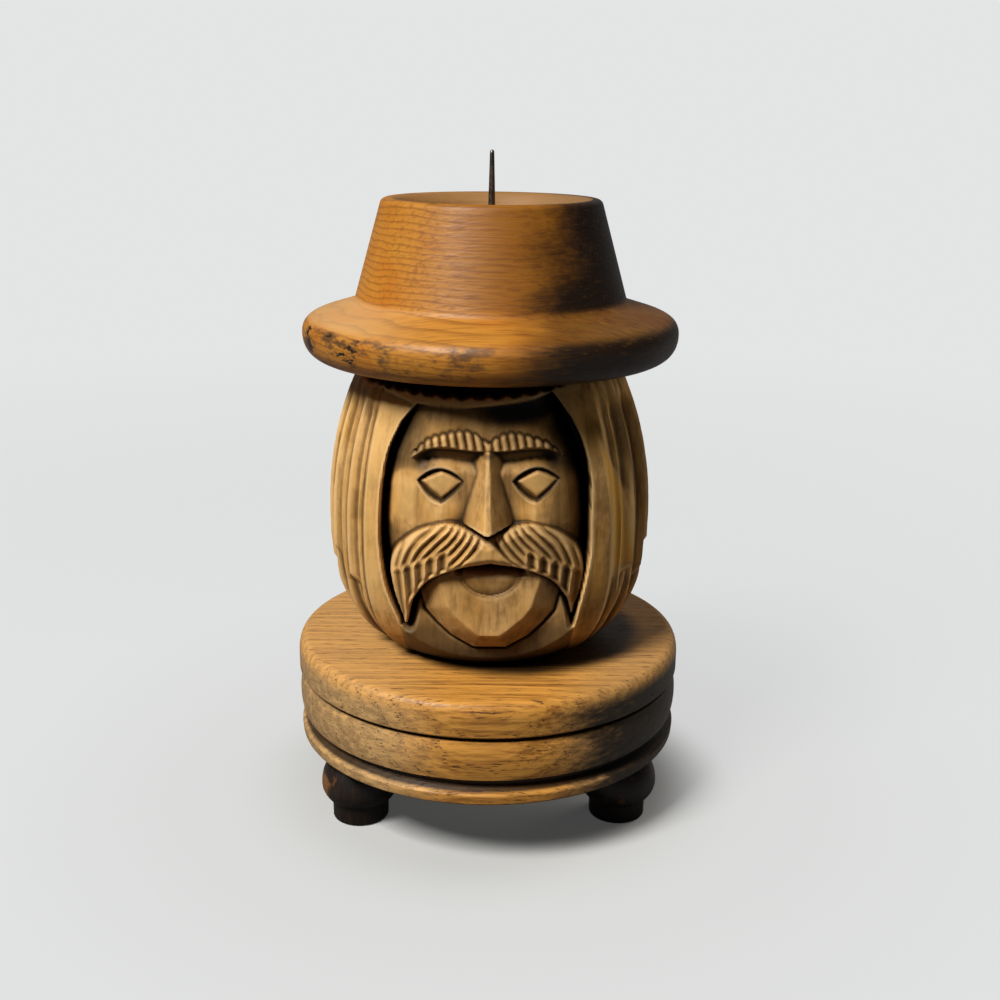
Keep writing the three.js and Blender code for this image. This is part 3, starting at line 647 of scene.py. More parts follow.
# %% Carve the moustache
ARCH_MIDDLE = 0.8
outer_half = [(7, 105.6), (12, 106.7), (18, 105), (23.8, 101.2), (28, 96), (29.5, 90), (28.6, 84)]
arch_half = [(25, 72), (23.6, 79.5), (22.2, 82.7), (19.3, 87.2), (15.3, 90.2), (8, 93.2), (0, 94.7)]
outer = curve([*outer_half, (27, 78), (25.4, 72)])
arch = [(px + ARCH_MIDDLE, pz) for px, pz in curve(arch_half)]
arch += [(ARCH_MIDDLE - px, pz) for px, pz in reversed(curve(arch_half))]
to_arch = distance(in_front, z, arch)
MOUSTACHE_HALF = 28
STRAND_PITCH = 3.0
STRAND_HEIGHT = 98
PLAIN_TOP = 102.3
PLAIN_SLOPE = 4.9 / 4.8
lean = np.interp(beside, [0, 6, 12, 18, 23, 28], [0.55, 0.75, 0.95, 0.85, 0.5, 0.25])
plain = ease(PLAIN_SLOPE * (PLAIN_TOP - z) - beside, -0.4, 0.4)
strand_phase = (beside + (z - STRAND_HEIGHT) * lean) / STRAND_PITCH
strand_groove = wave_cut(strand_phase + 0.4, 1.4) * (1 - plain)

SHORT_PITCH = 3.6
SHORT_DEPTH = 1.7
SHORT_FIRST = 13.3
ROW_MIDDLE = 14.2
ROW_HEIGHT = 98.2
row_start = ROW_HEIGHT - 0.5 * (beside - ROW_MIDDLE)
spread = 0.012 * (beside - 16) * (94 - z)
short_phase = (beside - SHORT_FIRST + spread) / SHORT_PITCH
short_entry = np.clip(0.7 * (row_start + 0.4 - z), -3, SHORT_DEPTH) - 0.9 * np.maximum(12 - beside, 0)
short_groove = np.maximum(short_entry - 2.6 * (1 - wave_cut(short_phase, 1)) ** 2, 0) / SHORT_DEPTH
in_short_row = ease(row_start - z, -0.6, 1.2) * ease(beside, 10, 12.5)

HAIR_DEPTH = 1.5
combed = np.maximum(strand_groove * (1 - in_short_row), short_groove) * ease(to_arch, 0.9, 1.8)
outer_left = [(-px - 0.2, pz) for px, pz in reversed(outer)]
moustache = inside(in_front, z, [(0, 102), *outer, *arch, *outer_left])
lip_hair = np.sqrt(np.maximum((radius - 2.0) ** 2 - face_x**2, 0))
lip_hair = lip_hair - HAIR_DEPTH * combed - HAIR_DEPTH * (1 - ease(moustache, 0, 2.6))
print("moustache has", round(MOUSTACHE_HALF / STRAND_PITCH), "long strands a side")

# %% [markdown]
# ### Mouth and chin
#
# Under the arch of the moustache the mouth is a dark gap, and the lower lip is half a disc set into it.
# The chin juts out in one shield-shaped plane with broad bevels beside and below it. The bevels end in a
# knife line, and outside that line the neck falls away to the base.

# %% Carve the chin
CHIN_MIDDLE = 0.7
CHIN_DEPTH = 44.6
BEVEL_DEPTH = 6.2
NECK_DEPTH = 39.4
chin_x = in_front - CHIN_MIDDLE
shield = mirrored([(0, 96), (15.4, 94), (14.8, 88), (12.3, 80.2), (9.9, 77), (5.2, 73), (3, 71.5)])
cup = mirrored(
    [(0, 97), (22, 94), (21.6, 84), (19.8, 77.4), (15.8, 72.8), (12, 69.2), (8.6, 67.2), (5, 65.2)]
)
beyond = np.maximum(-inside(chin_x, z, shield), 0)
to_line = inside(chin_x, z, cup)
bevel = beyond / (beyond + np.maximum(to_line, 0) + 0.01)
chin = CHIN_DEPTH + 0.1 * (86 - z) - BEVEL_DEPTH * bevel
gap = np.where(chin_x < 0, 6.5 * (1 - ease(to_arch, 0.5, 2.8)), 3.5 * (1 - ease(to_arch, 0.2, 1.6)))
neck = np.minimum(forward - 0.8, NECK_DEPTH) - gap * ease(z, 66, 76)
chin = np.where(to_line > 0, chin, neck) - 1.2 * (1 - ease(np.abs(to_line), 0, 0.9))
print("chin reaches", round(float(chin[opening > 0].max()), 1), "mm in front of the axis")

# %% Carve the lip and the mouth
LIP_MIDDLE = 0.8
LIP_TOP = 91.1
LIP_RADIUS = 8.9
LIP_DEPTH = 44.9
MOUTH_FLOOR = 31
from_lip = np.hypot(in_front - LIP_MIDDLE, (z - LIP_TOP) / 0.86)
lip_line = (1 - ease(np.abs(from_lip - LIP_RADIUS - 0.4), 0, 0.7)) * (z < LIP_TOP)
lip = LIP_DEPTH - 1.4 * (from_lip / LIP_RADIUS) ** 4 - 1.2 * ease(z, 88.5, LIP_TOP)
lip_cut = ease(LIP_RADIUS - from_lip, -0.05, 0.3) * ease(LIP_TOP - z, -0.2, 0.5)
mouth = ease(z, 89.8, 90.8) * (1 - ease(np.abs(in_front - LIP_MIDDLE), 8.6, 11))
below_nose = (chin - 0.6 * lip_line) * (1 - mouth) + MOUTH_FLOOR * mouth
below_nose = below_nose + (lip - below_nose) * lip_cut
below_arch = inside(in_front, z, [*arch, (-32, 71), (-32, UNDER_HEAD), (32, UNDER_HEAD), (32, 71)])
under = ease(below_arch, -0.3, 0.3)
face = face + (below_nose - face) * under
print("lip is", 2 * LIP_RADIUS, "mm wide")

# %% Join the face and stain its cuts
# Below the arch the chin's bevels, its lower part, the knife line, the lip line, the mouth and the gap beside
# the moustache are painted dark as shade.
chin_tone = 0.28 * ease(beyond, 0, 1.2) + 0.22 * ease(-to_line, 0, 1.5) + 0.2 * ease(-z, -76, -70)
stain_shade_and_light = np.where(under > 0.5, chin_tone, stain_shade_and_light)
dark_lines = np.maximum(0.85 * (1 - ease(np.abs(to_line), 0, 1.0)), 0.5 * lip_line * (1 - mouth))
stain_shade_and_light = np.maximum(stain_shade_and_light, under * np.maximum(dark_lines, 0.97 * mouth * (1 - lip_cut)))
stain_shade_and_light = np.maximum(stain_shade_and_light, under * 0.95 * ease(gap, 0.5, 4) * ease(z, 66, 76) * (to_line < 0))

DARK_BELOW = 37
in_hair = ease(moustache, -0.12, 0.4)
face = face + (np.maximum(lip_hair, face) - face) * in_hair
worn_and_lit = np.maximum(worn_and_lit * (1 - in_hair), 0.4 * in_hair * (1 - combed) * ease(-in_front, -2, 6))
# The moustache's grooves and its outline are darkened, stain and painted shade.
hair_stain_and_shade = np.maximum(0.6 * combed**1.5, 0.5 * (1 - ease(moustache, 0, 0.9)))
stain_shade_and_light = stain_shade_and_light * (1 - in_hair) + in_hair * hair_stain_and_shade
stain_shade_and_light = np.maximum(stain_shade_and_light, 0.6 * (1 - ease(-moustache, 0.1, 0.9)) * (moustache < 0))
# Deep slots are painted nearly black, stain and painted shade.
stain_shade_and_light = np.maximum(stain_shade_and_light, ease(DARK_BELOW - face, 0, 7)) * (opening > -0.2)
print("face is up to", round(float(face[opening > 0].max()), 1), "mm in front of the axis")

# %% [markdown]
# ### Fringe and knife marks
#
# Above the face a fringe is left standing, with a row of small bites along its top where the gouge went
# in under the hat. Last come the marks of the knife: the planes are never quite flat, and every edge is
# a little soft from handling.

# %% Open the face and bite the fringe
fringe_low = np.interp(in_front, [-36, -29.2, -21, 18.5], [145, 142.6, 140.6, 144.4])
under_fringe = np.maximum(fringe_low - z, 0)
left_step = ease(in_front, -38, -33) * (1 - ease(in_front, -24, -20)) * ease(fringe_low - z, -0.5, 0.5)
surface = surface - 1.1 * left_step * (1 - ease(under_fringe, 0, 7))
edge_round = 0.5 * (1 - ease(-opening, 0, 1.2)) ** 2
surface = surface - np.where(opening < 0, edge_round, 0)
surface = surface + (face - surface) * ease(opening, -0.4, 0.5)

BITE_PITCH = 5.2
BITE_RADIUS = 4.6
BITE_DEPTH = 13
FRINGE_RADIUS = 43
bite_across = turn * FRINGE_RADIUS / BITE_PITCH
bite_across = (bite_across - np.floor(bite_across) - 0.5) * BITE_PITCH
bite_heights = [144.2, 143.9, 143.4, 143.1, 143.4, 144.2, 145.2, 147.6]
bite_foot = np.interp(in_front, [-40, -29, -19.4, -9.6, 0, 10, 18, 26], bite_heights)
bite_edge = bite_foot + BITE_RADIUS - np.sqrt(BITE_RADIUS**2 - bite_across**2)
bite_span = ease(bearing, -67, -63) * ease(-bearing, -44, -38)
bitten = bite_span * ease(z - bite_edge, -0.3, 0.5)
surface = surface - bitten * np.maximum(surface - forward + BITE_DEPTH, 0)
cut = forward - surface
print("deepest cut", round(float(cut.max()), 1), "mm")


# %% Leave knife marks and wear the edges
def softened(grid, passes):
    """The grid averaged with its neighbours, the columns running on round the back."""
    for _ in range(passes):
        grid = 0.5 * grid + 0.25 * (np.roll(grid, 1, axis=1) + np.roll(grid, -1, axis=1))
        padded = np.pad(grid, ((1, 1), (0, 0)), mode="edge")
        grid = 0.5 * grid + 0.25 * (padded[:-2] + padded[2:])
    return grid


KNIFE_DEPTH = 0.09
knife = np.zeros_like(cut)
spots = np.stack([x, -forward, z], axis=-1)
for at in np.ndindex(knife.shape):
    spot = Vector(spots[at])
    knife[at] = noise.noise(spot * 0.22) + 0.5 * noise.noise(spot * 0.6)
cut = cut + KNIFE_DEPTH * knife
worn = 0.25 + 0.25 * ease(opening, -1.5, 0)
cut = cut + worn * (softened(cut, 1) - cut)
print("knife marks are up to", round(float(KNIFE_DEPTH * np.abs(knife).max()), 2), "mm deep")

# %% [markdown]
# ### Where the stain stays and where shade and light are painted
#
# The head was stained dark and has worn pale where hands touch it, and the same number paints shade and
# light on it. The grid keeps three numbers for the finish: how sharply a place stands out as a crest, how
# far it lies in a hollow, and its stain, which is above 0 where the wood is dark from stain or painted
# shade and below 0 where it is bare or painted lit. The forehead is painted dark with the shadow under the
# fringe, the hair's ridges are bare, and the fringe's band and one broad plane of the right lock are
# painted lit.

# %% Find crests and hollows
crest = np.clip((softened(cut, 6) - cut) / 0.5, -1, 1)
hollow = np.clip((cut - softened(cut, 60)) / 3, -1, 1)
on_hair = (opening < 0) & gouged
crest = np.where(on_hair, np.maximum(crest, 0.75 * crest), crest)
hollow = np.where(on_hair, 0.8 * hollow, hollow)
print("crests on", round(100 * float((crest > 0.15).mean())), "% of the grid")

# %% Stain face and hair
# The forehead under the fringe and its right half are painted with the hat's shadow, the temples and the
# right side of the face with painted shade, and planes that lie back are darker as painted shade.
broad = softened(np.minimum(cut, 14), 300)
standing = np.clip((broad - cut) / 3, -1, 1)
temples = 0.4 * ease(z, 117, 124) * ease(beside, 14, 20) + 0.16 * ease(in_front, 12, 22)
shaded = 0.6 * (1 - ease(under_fringe, 2, 11))
shaded = shaded + 0.6 * ease(in_front, -6, 6) * (1 - ease(under_fringe, 5, 11))
shaded = np.clip(np.maximum(shaded, 0.3 - 0.3 * standing + temples), 0, 0.97)
stain_shade_and_light = np.maximum(stain_shade_and_light, shaded * ease(opening, -0.2, 0.5))

started = ease(short_cut - long_cut, -0.1, 0.5) * (1 - ease(below_crease, 5, 12))
right_side = ease(bearing, 34, 38) * (1 - ease(bearing, 80, 100))
# lit_lock marks a painted pool of light on one broad plane of the right lock.
lit_from = np.interp(z, [84, 118, 133], [47, 43, 41])
lit_to = np.interp(z, [84, 112, 133], [64, 58, 42])
lit_lock = ease(bearing, lit_from, lit_from + 3) * (1 - ease(bearing, lit_to - 2, lit_to)) * ease(z, 82, 90)
# The flutes are stained darker, most where deep and where the short cuts start; the right side and the lower
# hair are painted darker as shade.
hair_tone = 0.06 * hair_cut + (0.2 * one_pass**2 * (1 - 0.8 * lit_lock) + 0.2 * started) * gouged
hair_tone = hair_tone + 0.25 * right_side * (1 - lit_lock) * ease(z, 92, 110)
hair_tone = hair_tone + 0.42 * ease(-z, -86, -64)
stain_shade_and_light = np.maximum(stain_shade_and_light, np.where(opening > 0, 0, hair_tone))
# The bites under the hat are painted nearly black, as shade.
stain_shade_and_light = np.maximum(stain_shade_and_light, bite_span * ease(z - bite_edge, -0.8, -0.5))
print("dark wood on", round(100 * float((stain_shade_and_light > 0.5).mean())), "% of the grid")

# %% Wear the stain off and paint light on
# The ridges are worn bare; the fringe's band and the plane of the right lock are painted lit.
on_ridge = np.where(gouged, 0.5 * (1 - ease(one_pass, 0.2, 0.85)), 0.3 * (1 - right_side))
fringe_band = 0.8 * ease(z - fringe_low, -0.4, 0.6) * (np.abs(bearing) < 40)
worn_and_lit_hair = np.maximum(np.maximum(on_ridge, 1.2 * lit_lock), fringe_band)
worn_and_lit = np.where(opening > 0, worn_and_lit, worn_and_lit_hair)
stain_shade_and_light = stain_shade_and_light - worn_and_lit * (1 - ease(stain_shade_and_light, 0.4, 0.6))
stain_shade_and_light = softened(stain_shade_and_light, 1)
print("bare wood on", round(100 * float((stain_shade_and_light < 0).mean())), "% of the grid")

# %% [markdown]
# ### From the grid to the sphere
#
# A UV sphere has the same rows and columns as the grid, so every vertex knows its cut. The rows at the
# two poles become the hole for the dowel and the pilot hole for the screw. The three numbers for the
# finish are kept as attributes of the mesh, where the material can read them.

# %% Carve the sphere
row_count, column_count = z.shape
HOLE_RINGS = 3
rings = row_count + 2 * HOLE_RINGS - 1
head = begin(
    "head",
    bpy.ops.mesh.primitive_uv_sphere_add,
    segments=column_count,
    ring_count=rings,
    radius=1,
)
sphere = np.empty(len(head.data.vertices) * 3)
head.data.vertices.foreach_get("co", sphere)
sphere = sphere.reshape(-1, 3)
ring = np.rint(np.arccos(np.clip(sphere[:, 2], -1, 1)) * rings / math.pi).astype(int)
from_first = np.arctan2(sphere[:, 1], sphere[:, 0]) - math.pi / 2
column = np.rint(from_first * column_count / math.tau).astype(int) % column_count
row = np.clip(ring - HOLE_RINGS, 0, row_count - 1)

straight = 1 - ease(np.abs(bearing), 42, 56)
heading = turn * (1 - straight)
carved_x = x - cut * np.sin(heading)
carved_y = -forward + cut * np.cos(heading)
places = np.stack([carved_x[row, column], carved_y[row, column], z[row, column]], axis=-1)
print("sphere has", rings, "rings of", column_count, "vertices")

# %% Bore the head and keep its stain
SPARE = 0.3
PILOT_HOLE = 2.0
dowel_floor = limits("hat_dowel")[0].z - SPARE
screw_roof = limits("base_screw")[1].z + SPARE
holes = {
    0: (0, dowel_floor),
    1: (dowel_hole, dowel_floor),
    2: (dowel_hole, head_high.z),
    rings - 2: (PILOT_HOLE, head_low.z),
    rings - 1: (PILOT_HOLE, screw_roof),
    rings: (0, screw_roof),
}
for hole_ring, (hole_radius, hole_height) in holes.items():
    there = ring == hole_ring
    angle = turn[0, column[there]]
    places[there] = np.stack(
        [hole_radius * np.sin(angle), -hole_radius * np.cos(angle), np.full(angle.shape, hole_height)],
        axis=-1,
    )
head.data.vertices.foreach_set("co", (places * MM).ravel())
for name, grid in (("crest", crest), ("hollow", hollow), ("stain_shade_and_light", stain_shade_and_light)):
    layer = head.data.attributes.new(name, "FLOAT", "POINT")
    layer.data.foreach_set("value", grid[row, column].astype(np.float32))
head.data.update()
bpy.ops.object.shade_smooth_by_angle(angle=math.radians(32))
print("head has", sum(len(polygon.vertices) - 2 for polygon in head.data.polygons), "triangles")

# %% [markdown]
# ## Finishes
#
# All the finishes are built from the piece's own coordinates, so the wood goes right through it: rings
# and fibres show as lines along the grain and as dots and arcs where the grain is cut across. A small
# class lets the patterns be added and multiplied like numbers.


# %% Patterns as sums
class Pattern:
    """One output of a finish's nodes, which takes part in sums."""

    def __init__(self, tree, socket):
        self.tree = tree
        self.socket = socket

    def node(self, kind, settings, sockets, output=0):
        """Adds a node, gives it its settings, then its values and links, and returns an output."""
        made = self.tree.nodes.new(kind)
        for name, setting in settings.items():
            setattr(made, name, setting)
        for name, value in sockets.items():
            if isinstance(value, Pattern):
                self.tree.links.new(value.socket, made.inputs[name])
            else:
                made.inputs[name].default_value = value
        return Pattern(self.tree, made.outputs[output])

    def math(self, operation, first, second=0.0):
        """A sum of two values."""
        return self.node("ShaderNodeMath", {"operation": operation}, {0: first, 1: second})

    def __add__(self, other):
        return self.math("ADD", self, other)

    __radd__ = __add__

    def __sub__(self, other):
        return self.math("SUBTRACT", self, other)

    def __rsub__(self, other):
        return self.math("SUBTRACT", other, self)

    def __mul__(self, other):
        return self.math("MULTIPLY", self, other)

    __rmul__ = __mul__

    def __truediv__(self, other):
        return self.math("DIVIDE", self, other)

    def __pow__(self, other):
        return self.math("POWER", self, other)

    def __abs__(self):
        return self.math("ABSOLUTE", self)


# %% Colours, grain and relief
def colour(code):
    """A colour as it looks on screen, such as c08040, in the numbers that shaders use."""
    parts = [int(code[at : at + 2], 16) / 255 for at in (0, 2, 4)]
    linear = [part / 12.92 if part < 0.04045 else ((part + 0.055) / 1.055) ** 2.4 for part in parts]
    return (*linear, 1)


def new_finish(name):
    """An empty finish: its material, its shader and the piece's coordinates in metres."""
    material = bpy.data.materials.new(name)
    material.use_nodes = True
    tree = material.node_tree
    coordinates = tree.nodes.new("ShaderNodeTexCoord").outputs["Object"]
    return material, tree.nodes["Principled BSDF"], Pattern(tree, coordinates)


def feed(shader, **values):
    """Sets the shader's sockets by name: a pattern is linked, and a number is set on the socket."""
    for name, value in values.items():
        socket = shader.inputs[name.replace("_", " ").title().replace("Ior", "IOR")]
        if isinstance(value, Pattern):
            value.tree.links.new(value.socket, socket)
        else:
            socket.default_value = value


def stretched(place, along, across_grain, up):
    """Coordinates scaled for each direction, in features per metre."""
    return place.node("ShaderNodeMapping", {}, {"Vector": place, "Scale": (along, across_grain, up)})


def cloud(place, detail=3.0, roughness=0.5, distortion=0.0):
    """Soft noise between 0 and 1."""
    settings = {"Vector": place, "Scale": 1.0, "Detail": detail, "Roughness": roughness}
    return place.node("ShaderNodeTexNoise", {}, {**settings, "Distortion": distortion})


def fade(value, low, high):
    """Rises smoothly from 0 at low to 1 at high."""
    return value.node(
        "ShaderNodeMapRange",
        {"interpolation_type": "SMOOTHSTEP"},
        {"Value": value, "From Min": low, "From Max": high},
    )


def blend(share, first, second):
    """The first colour, changing to the second as share rises to 1."""
    return share.node("ShaderNodeMix", {"data_type": "RGBA"}, {0: share, 6: first, 7: second}, 2)


def layered(ground, *layers):
    """A ground colour with other colours laid over it in turn, each with its share."""
    tone = colour(ground)
    for share, code in layers:
        tone = blend(share, tone, colour(code))
    return tone


def axes(place):
    """The three coordinates as single values."""
    split = place.node("ShaderNodeSeparateXYZ", {}, {0: place})
    return [Pattern(place.tree, socket) for socket in split.socket.node.outputs]


def relief(height, strength, depth):
    """A bump from a height pattern, with its depth in metres."""
    return height.node("ShaderNodeBump", {}, {"Strength": strength, "Distance": depth, "Height": height})


def growth_rings(place, middle, spacing, waviness):
    """Year rings round a pith that lies along X at a given Y and Z, dark once a ring."""
    _, back, up = axes(place)
    wobble = (cloud(stretched(place, 12, 60, 60), 2) - 0.5) * waviness
    away = ((back - middle[0]) ** 2 + (up - middle[1]) ** 2) ** 0.5 + wobble
    turns_of_ring = away / spacing
    return turns_of_ring.math("FRACT", turns_of_ring)


def short_pores(place, length, width, share):
    """Short dark pores along the grain, 1 in a pore."""
    speckle = cloud(stretched(place, 1 / length, 1 / width, 1 / width), 2, 0.6)
    return fade(speckle, 1 - share, 1.06 - share)


# %% [markdown]
# ### Hat wood
#
# The hat is a fine, close wood with an orange stain under a satin polish. Its right side is dark, partly
# with patina and partly with painted shade, the left of the brim's top carries a painted pale sheen, and
# years of handling have left scuffs along the brim.

# %% Finish the hat
hat_wood, shader, place = new_finish("hat_polish")
along, back, up = axes(place)
hat_rings = growth_rings(place, (-0.02, -0.2), 0.0019, 0.004)
fibres = cloud(stretched(place, 60, 900, 900), 4, 0.6)
mottle = cloud(stretched(place, 30, 60, 60), 3, 0.55)
flecks = cloud(stretched(place, 90, 300, 700), 3, 0.65)
bruises = fade(cloud(stretched(place, 70, 70, 160), 4, 0.7), 0.47, 0.6)
scuffs = fade(cloud(stretched(place, 110, 110, 300), 4, 0.7), 0.53, 0.62)
on_crown = fade(up, 0.166, 0.171)
on_slope = fade(up, 0.16, 0.1625) * fade(0.1685 - up, 0.0, 0.002)
on_edge = fade(0.1615 - up, 0.0, 0.0015) * fade(up, 0.150, 0.153)
in_dish = fade(up, 0.1915, 0.192) * fade(0.0315 - (along**2 + back**2) ** 0.5, 0.0, 0.001)
wander = (mottle - 0.5) * 0.03 + (flecks - 0.5) * 0.014
# Darker to the right: partly patina, partly painted shade on the side away from the window.
patina_and_shade = fade(along + wander - (up - 0.18) * 0.25, 0.006, 0.028)
shows_through = fade(flecks, 0.58, 0.68) * 0.12
# The pale dcb27a on the brim's top towards the left is a painted sheen.
wood = layered(
    "c1812d",
    (fade(mottle, 0.4, 0.7), "b8701c"),
    (on_crown * fade(along, -0.036, 0.012) * 0.75, "85500f"),
    (fade(hat_rings, 0.55, 0.95) * fade(0.012 - along, 0.0, 0.02) * 0.45, "6f3d12"),
    (fade(fibres, 0.46, 0.68) * (0.12 + 0.38 * fade(along, -0.045, -0.015)), "6f3d12"),
    (on_slope * fade(0 - along, 0.012, 0.045) * 0.5, "dcb27a"),
    (patina_and_shade * (0.97 - 0.3 * on_slope - shows_through), "17100c"),
    (bruises * on_edge * fade(0 - along, -0.02, 0.012) * 0.85, "4a3523"),
    (scuffs * on_edge * fade(0 - along, 0.03, 0.037), "160e09"),
    (in_dish * 0.75, "9a7448"),
)
feed(
    shader,
    base_color=wood,
    roughness=0.38 + 0.12 * mottle + 0.1 * fibres + 0.2 * in_dish,
    normal=relief(fibres + hat_rings + flecks, strength=0.4, depth=0.0003),
    specular_ior_level=0.35,
    coat_weight=0.12,
    coat_roughness=0.45,
)
print("hat finish:", len(hat_wood.node_tree.nodes), "nodes")

# %% [markdown]
# ### Base oak
#
# Oak shows its pores: short dark dashes where a board is cut along the grain, dots where it is cut
# across. The turned grooves are darkened, partly dust and partly painted shade. The right side is dark
# with patina and painted shade, a ring of dirt and painted contact shadow lies round the neck, and the
# sides carry a painted pale sheen.

# %% Finish the base
base_oak, shader, place = new_finish("base_polish")
along, back, up = axes(place)
oak_rings = growth_rings(place, (0.18, -0.04), 0.0034, 0.004)
pores = short_pores(place, 0.006, 0.0005, 0.42) * fade(oak_rings, 0.2, 0.7)
fibres = cloud(stretched(place, 30, 800, 800), 4, 0.65)
mottle = cloud(stretched(place, 25, 60, 60), 3, 0.55)
flecks = cloud(stretched(place, 120, 300, 700), 3, 0.65)
from_axis = (along**2 + back**2) ** 0.5
on_side = fade(0.0545 - up, 0.0, 0.004)
# Away from the front middle the wood gets the pale d9b27b, a painted sheen.
beside_middle = fade(abs(along - 0.004), 0.012, 0.04)
weathered = fade(flecks + 0.4 * mottle, 0.5, 0.85) * (0.35 + 0.65 * beside_middle)
# The grooves are darkened with 180d07, partly dust and partly painted shade.
in_groove = fade(0.0622 - from_axis, 0.0, 0.0012) * fade(0.0462 - up, 0.0, 0.001)
# Darker to the right: partly patina, partly painted shade.
patina_and_shade = fade(along + (mottle - 0.5) * 0.03 + (flecks - 0.5) * 0.024, 0.02, 0.042)
# A dark ring round the neck, widest to the right: dirt and a painted contact shadow of the head.
round_the_neck = ((along - 0.01) ** 2 + (back + 0.002) ** 2) ** 0.5
dirt_and_contact_shadow = fade(0.044 - round_the_neck + (mottle - 0.5) * 0.006, 0.0, 0.009) * (1 - on_side)
wood = layered(
    "dd9c46",
    (fade(oak_rings, 0.3, 0.95) * 0.4, "b17328"),
    (fade(fibres, 0.42, 0.66) * 0.75, "85521e"),
    (beside_middle * (0.35 + 0.35 * on_side), "d9b27b"),
    (on_side * weathered * 0.5, "54402b"),
    (pores * 0.8, "4a2b12"),
    (in_groove * 0.9, "180d07"),
    (patina_and_shade * (0.2 + 0.73 * on_side), "191513"),
    (dirt_and_contact_shadow * 0.94, "120b07"),
)
feed(
    shader,
    base_color=wood,
    roughness=0.36 + 0.14 * mottle + 0.2 * pores,
    normal=relief(fibres + flecks - 1.5 * pores, strength=0.4, depth=0.0003),
    specular_ior_level=0.35,
)
print("base finish:", len(base_oak.node_tree.nodes), "nodes")

# %% [markdown]
# ### Carved wood
#
# The head is a plain pale wood with a thin brown stain, which has worn off the ridges. The hollows are
# painted dark, partly stain and partly painted shade, nearly black in the slots and round the neck, and
# some planes are painted lit. The finish reads it from the mesh.

# %% Finish the head
head_wood, shader, place = new_finish("carved_stain")
crests, hollows, stain_shade_and_light_values = (
    place.node("ShaderNodeAttribute", {"attribute_name": name}, {}, "Fac")
    for name in ("crest", "hollow", "stain_shade_and_light")
)
fibres = cloud(stretched(place, 500, 500, 60), 4, 0.6)
mottle = cloud(stretched(place, 70, 70, 50), 3, 0.55)
patches = cloud(stretched(place, 120, 120, 80), 4, 0.65)
_, _, up = axes(place)
# Crests lighter (wear and painted highlight), creases and hollows darker (stain and painted shade), the stain
# number dark or pale, and darker towards the bottom of the head as painted shade.
wood = layered(
    "dcab69",
    (fade(mottle, 0.35, 0.7), "ca954b"),
    (fade(fibres, 0.45, 0.75) * 0.55, "7d572b"),
    (fade(patches, 0.48, 0.66) * 0.45, "6f4d27"),
    (fade(crests, 0.15, 0.8) * 0.65, "ecc48a"),
    (fade(0 - crests, 0.05, 0.7) * 0.75, "4a2f16"),
    (fade(hollows, 0.12, 0.9) * 0.85, "1c1109"),
    (fade(stain_shade_and_light_values, 0.0, 1.0), "0c0704"),
    (fade(0 - stain_shade_and_light_values, 0.0, 0.5) * 0.7, "eebf77"),
    (fade(0 - stain_shade_and_light_values, 0.85, 1.1), "f4b758"),
    (fade(0.07 - up, 0.0, 0.012) * 0.9, "150c06"),
)
feed(
    shader,
    base_color=wood,
    roughness=0.5 + 0.15 * mottle,
    normal=relief(fibres + mottle + patches, strength=0.3, depth=0.0003),
    specular_ior_level=0.25,
)
print("head finish:", len(head_wood.node_tree.nodes), "nodes")

# %% [markdown]
# ### Feet and metal
#
# The feet are stained almost black and rubbed through to the wood where hands and shelves have touched
# them. The spike is dark steel with a little rust, the dowel raw beech and the screw plain steel.

# %% Finish feet, spike, dowel and screw
foot_stain, shader, place = new_finish("foot_stain")
along, _, up = axes(place)
rub = cloud(stretched(place, 160, 160, 120), 4, 0.65)
fibres = cloud(stretched(place, 700, 700, 90), 3, 0.6)
on_left_ball = fade(0 - along, 0.046, 0.054) * fade(0.02 - up, 0.0, 0.006)
rubbed_through = fade(rub + 0.3 * on_left_ball, 0.6, 0.76)
wood = layered("1a110c", (fade(fibres, 0.4, 0.7), "2c1c12"), (rubbed_through * 0.8, "8a5a2c"))
feed(
    shader,
    base_color=wood,
    roughness=0.34 + 0.2 * rub,
    normal=relief(fibres, strength=0.2, depth=0.0002),
)


def metal(name, bright, dull, spots_colour, share):
    """Steel with drawn streaks up its length and some spots."""
    material, shader, place = new_finish(name)
    streaks = cloud(stretched(place, 2600, 2600, 160), 3, 0.6)
    spots_on = fade(cloud(stretched(place, 700, 700, 400), 3, 0.6), 1 - share, 1.15 - share)
    tone = layered(bright, (streaks, dull), (spots_on, spots_colour))
    feed(shader, base_color=tone, roughness=0.35 + 0.4 * spots_on, metallic=1 - 0.6 * spots_on)
    return material


spike_steel = metal("spike_steel", "8a7f74", "4d443c", "3a2417", 0.5)
screw_steel = metal("screw_steel", "c4c0ba", "8f8b85", "6b5a4a", 0.35)

dowel_beech, shader, place = new_finish("dowel_beech")
fibres = cloud(stretched(place, 900, 900, 110), 4, 0.6)
flecks = fade(cloud(stretched(place, 1400, 1400, 420), 2, 0.5), 0.58, 0.66)
wood = layered("d9b48a", (fibres, "b98b5c"), (flecks * 0.5, "8a6038"))
feed(shader, base_color=wood, roughness=0.6 + 0.1 * fibres)
print("finishes:", len(bpy.data.materials))

# %% [markdown]
# ## Together with the solids
#
# Each new piece takes the place of its solid. The dowel and the screw keep the solids themselves, since
# their shape is right, and only get a finish.

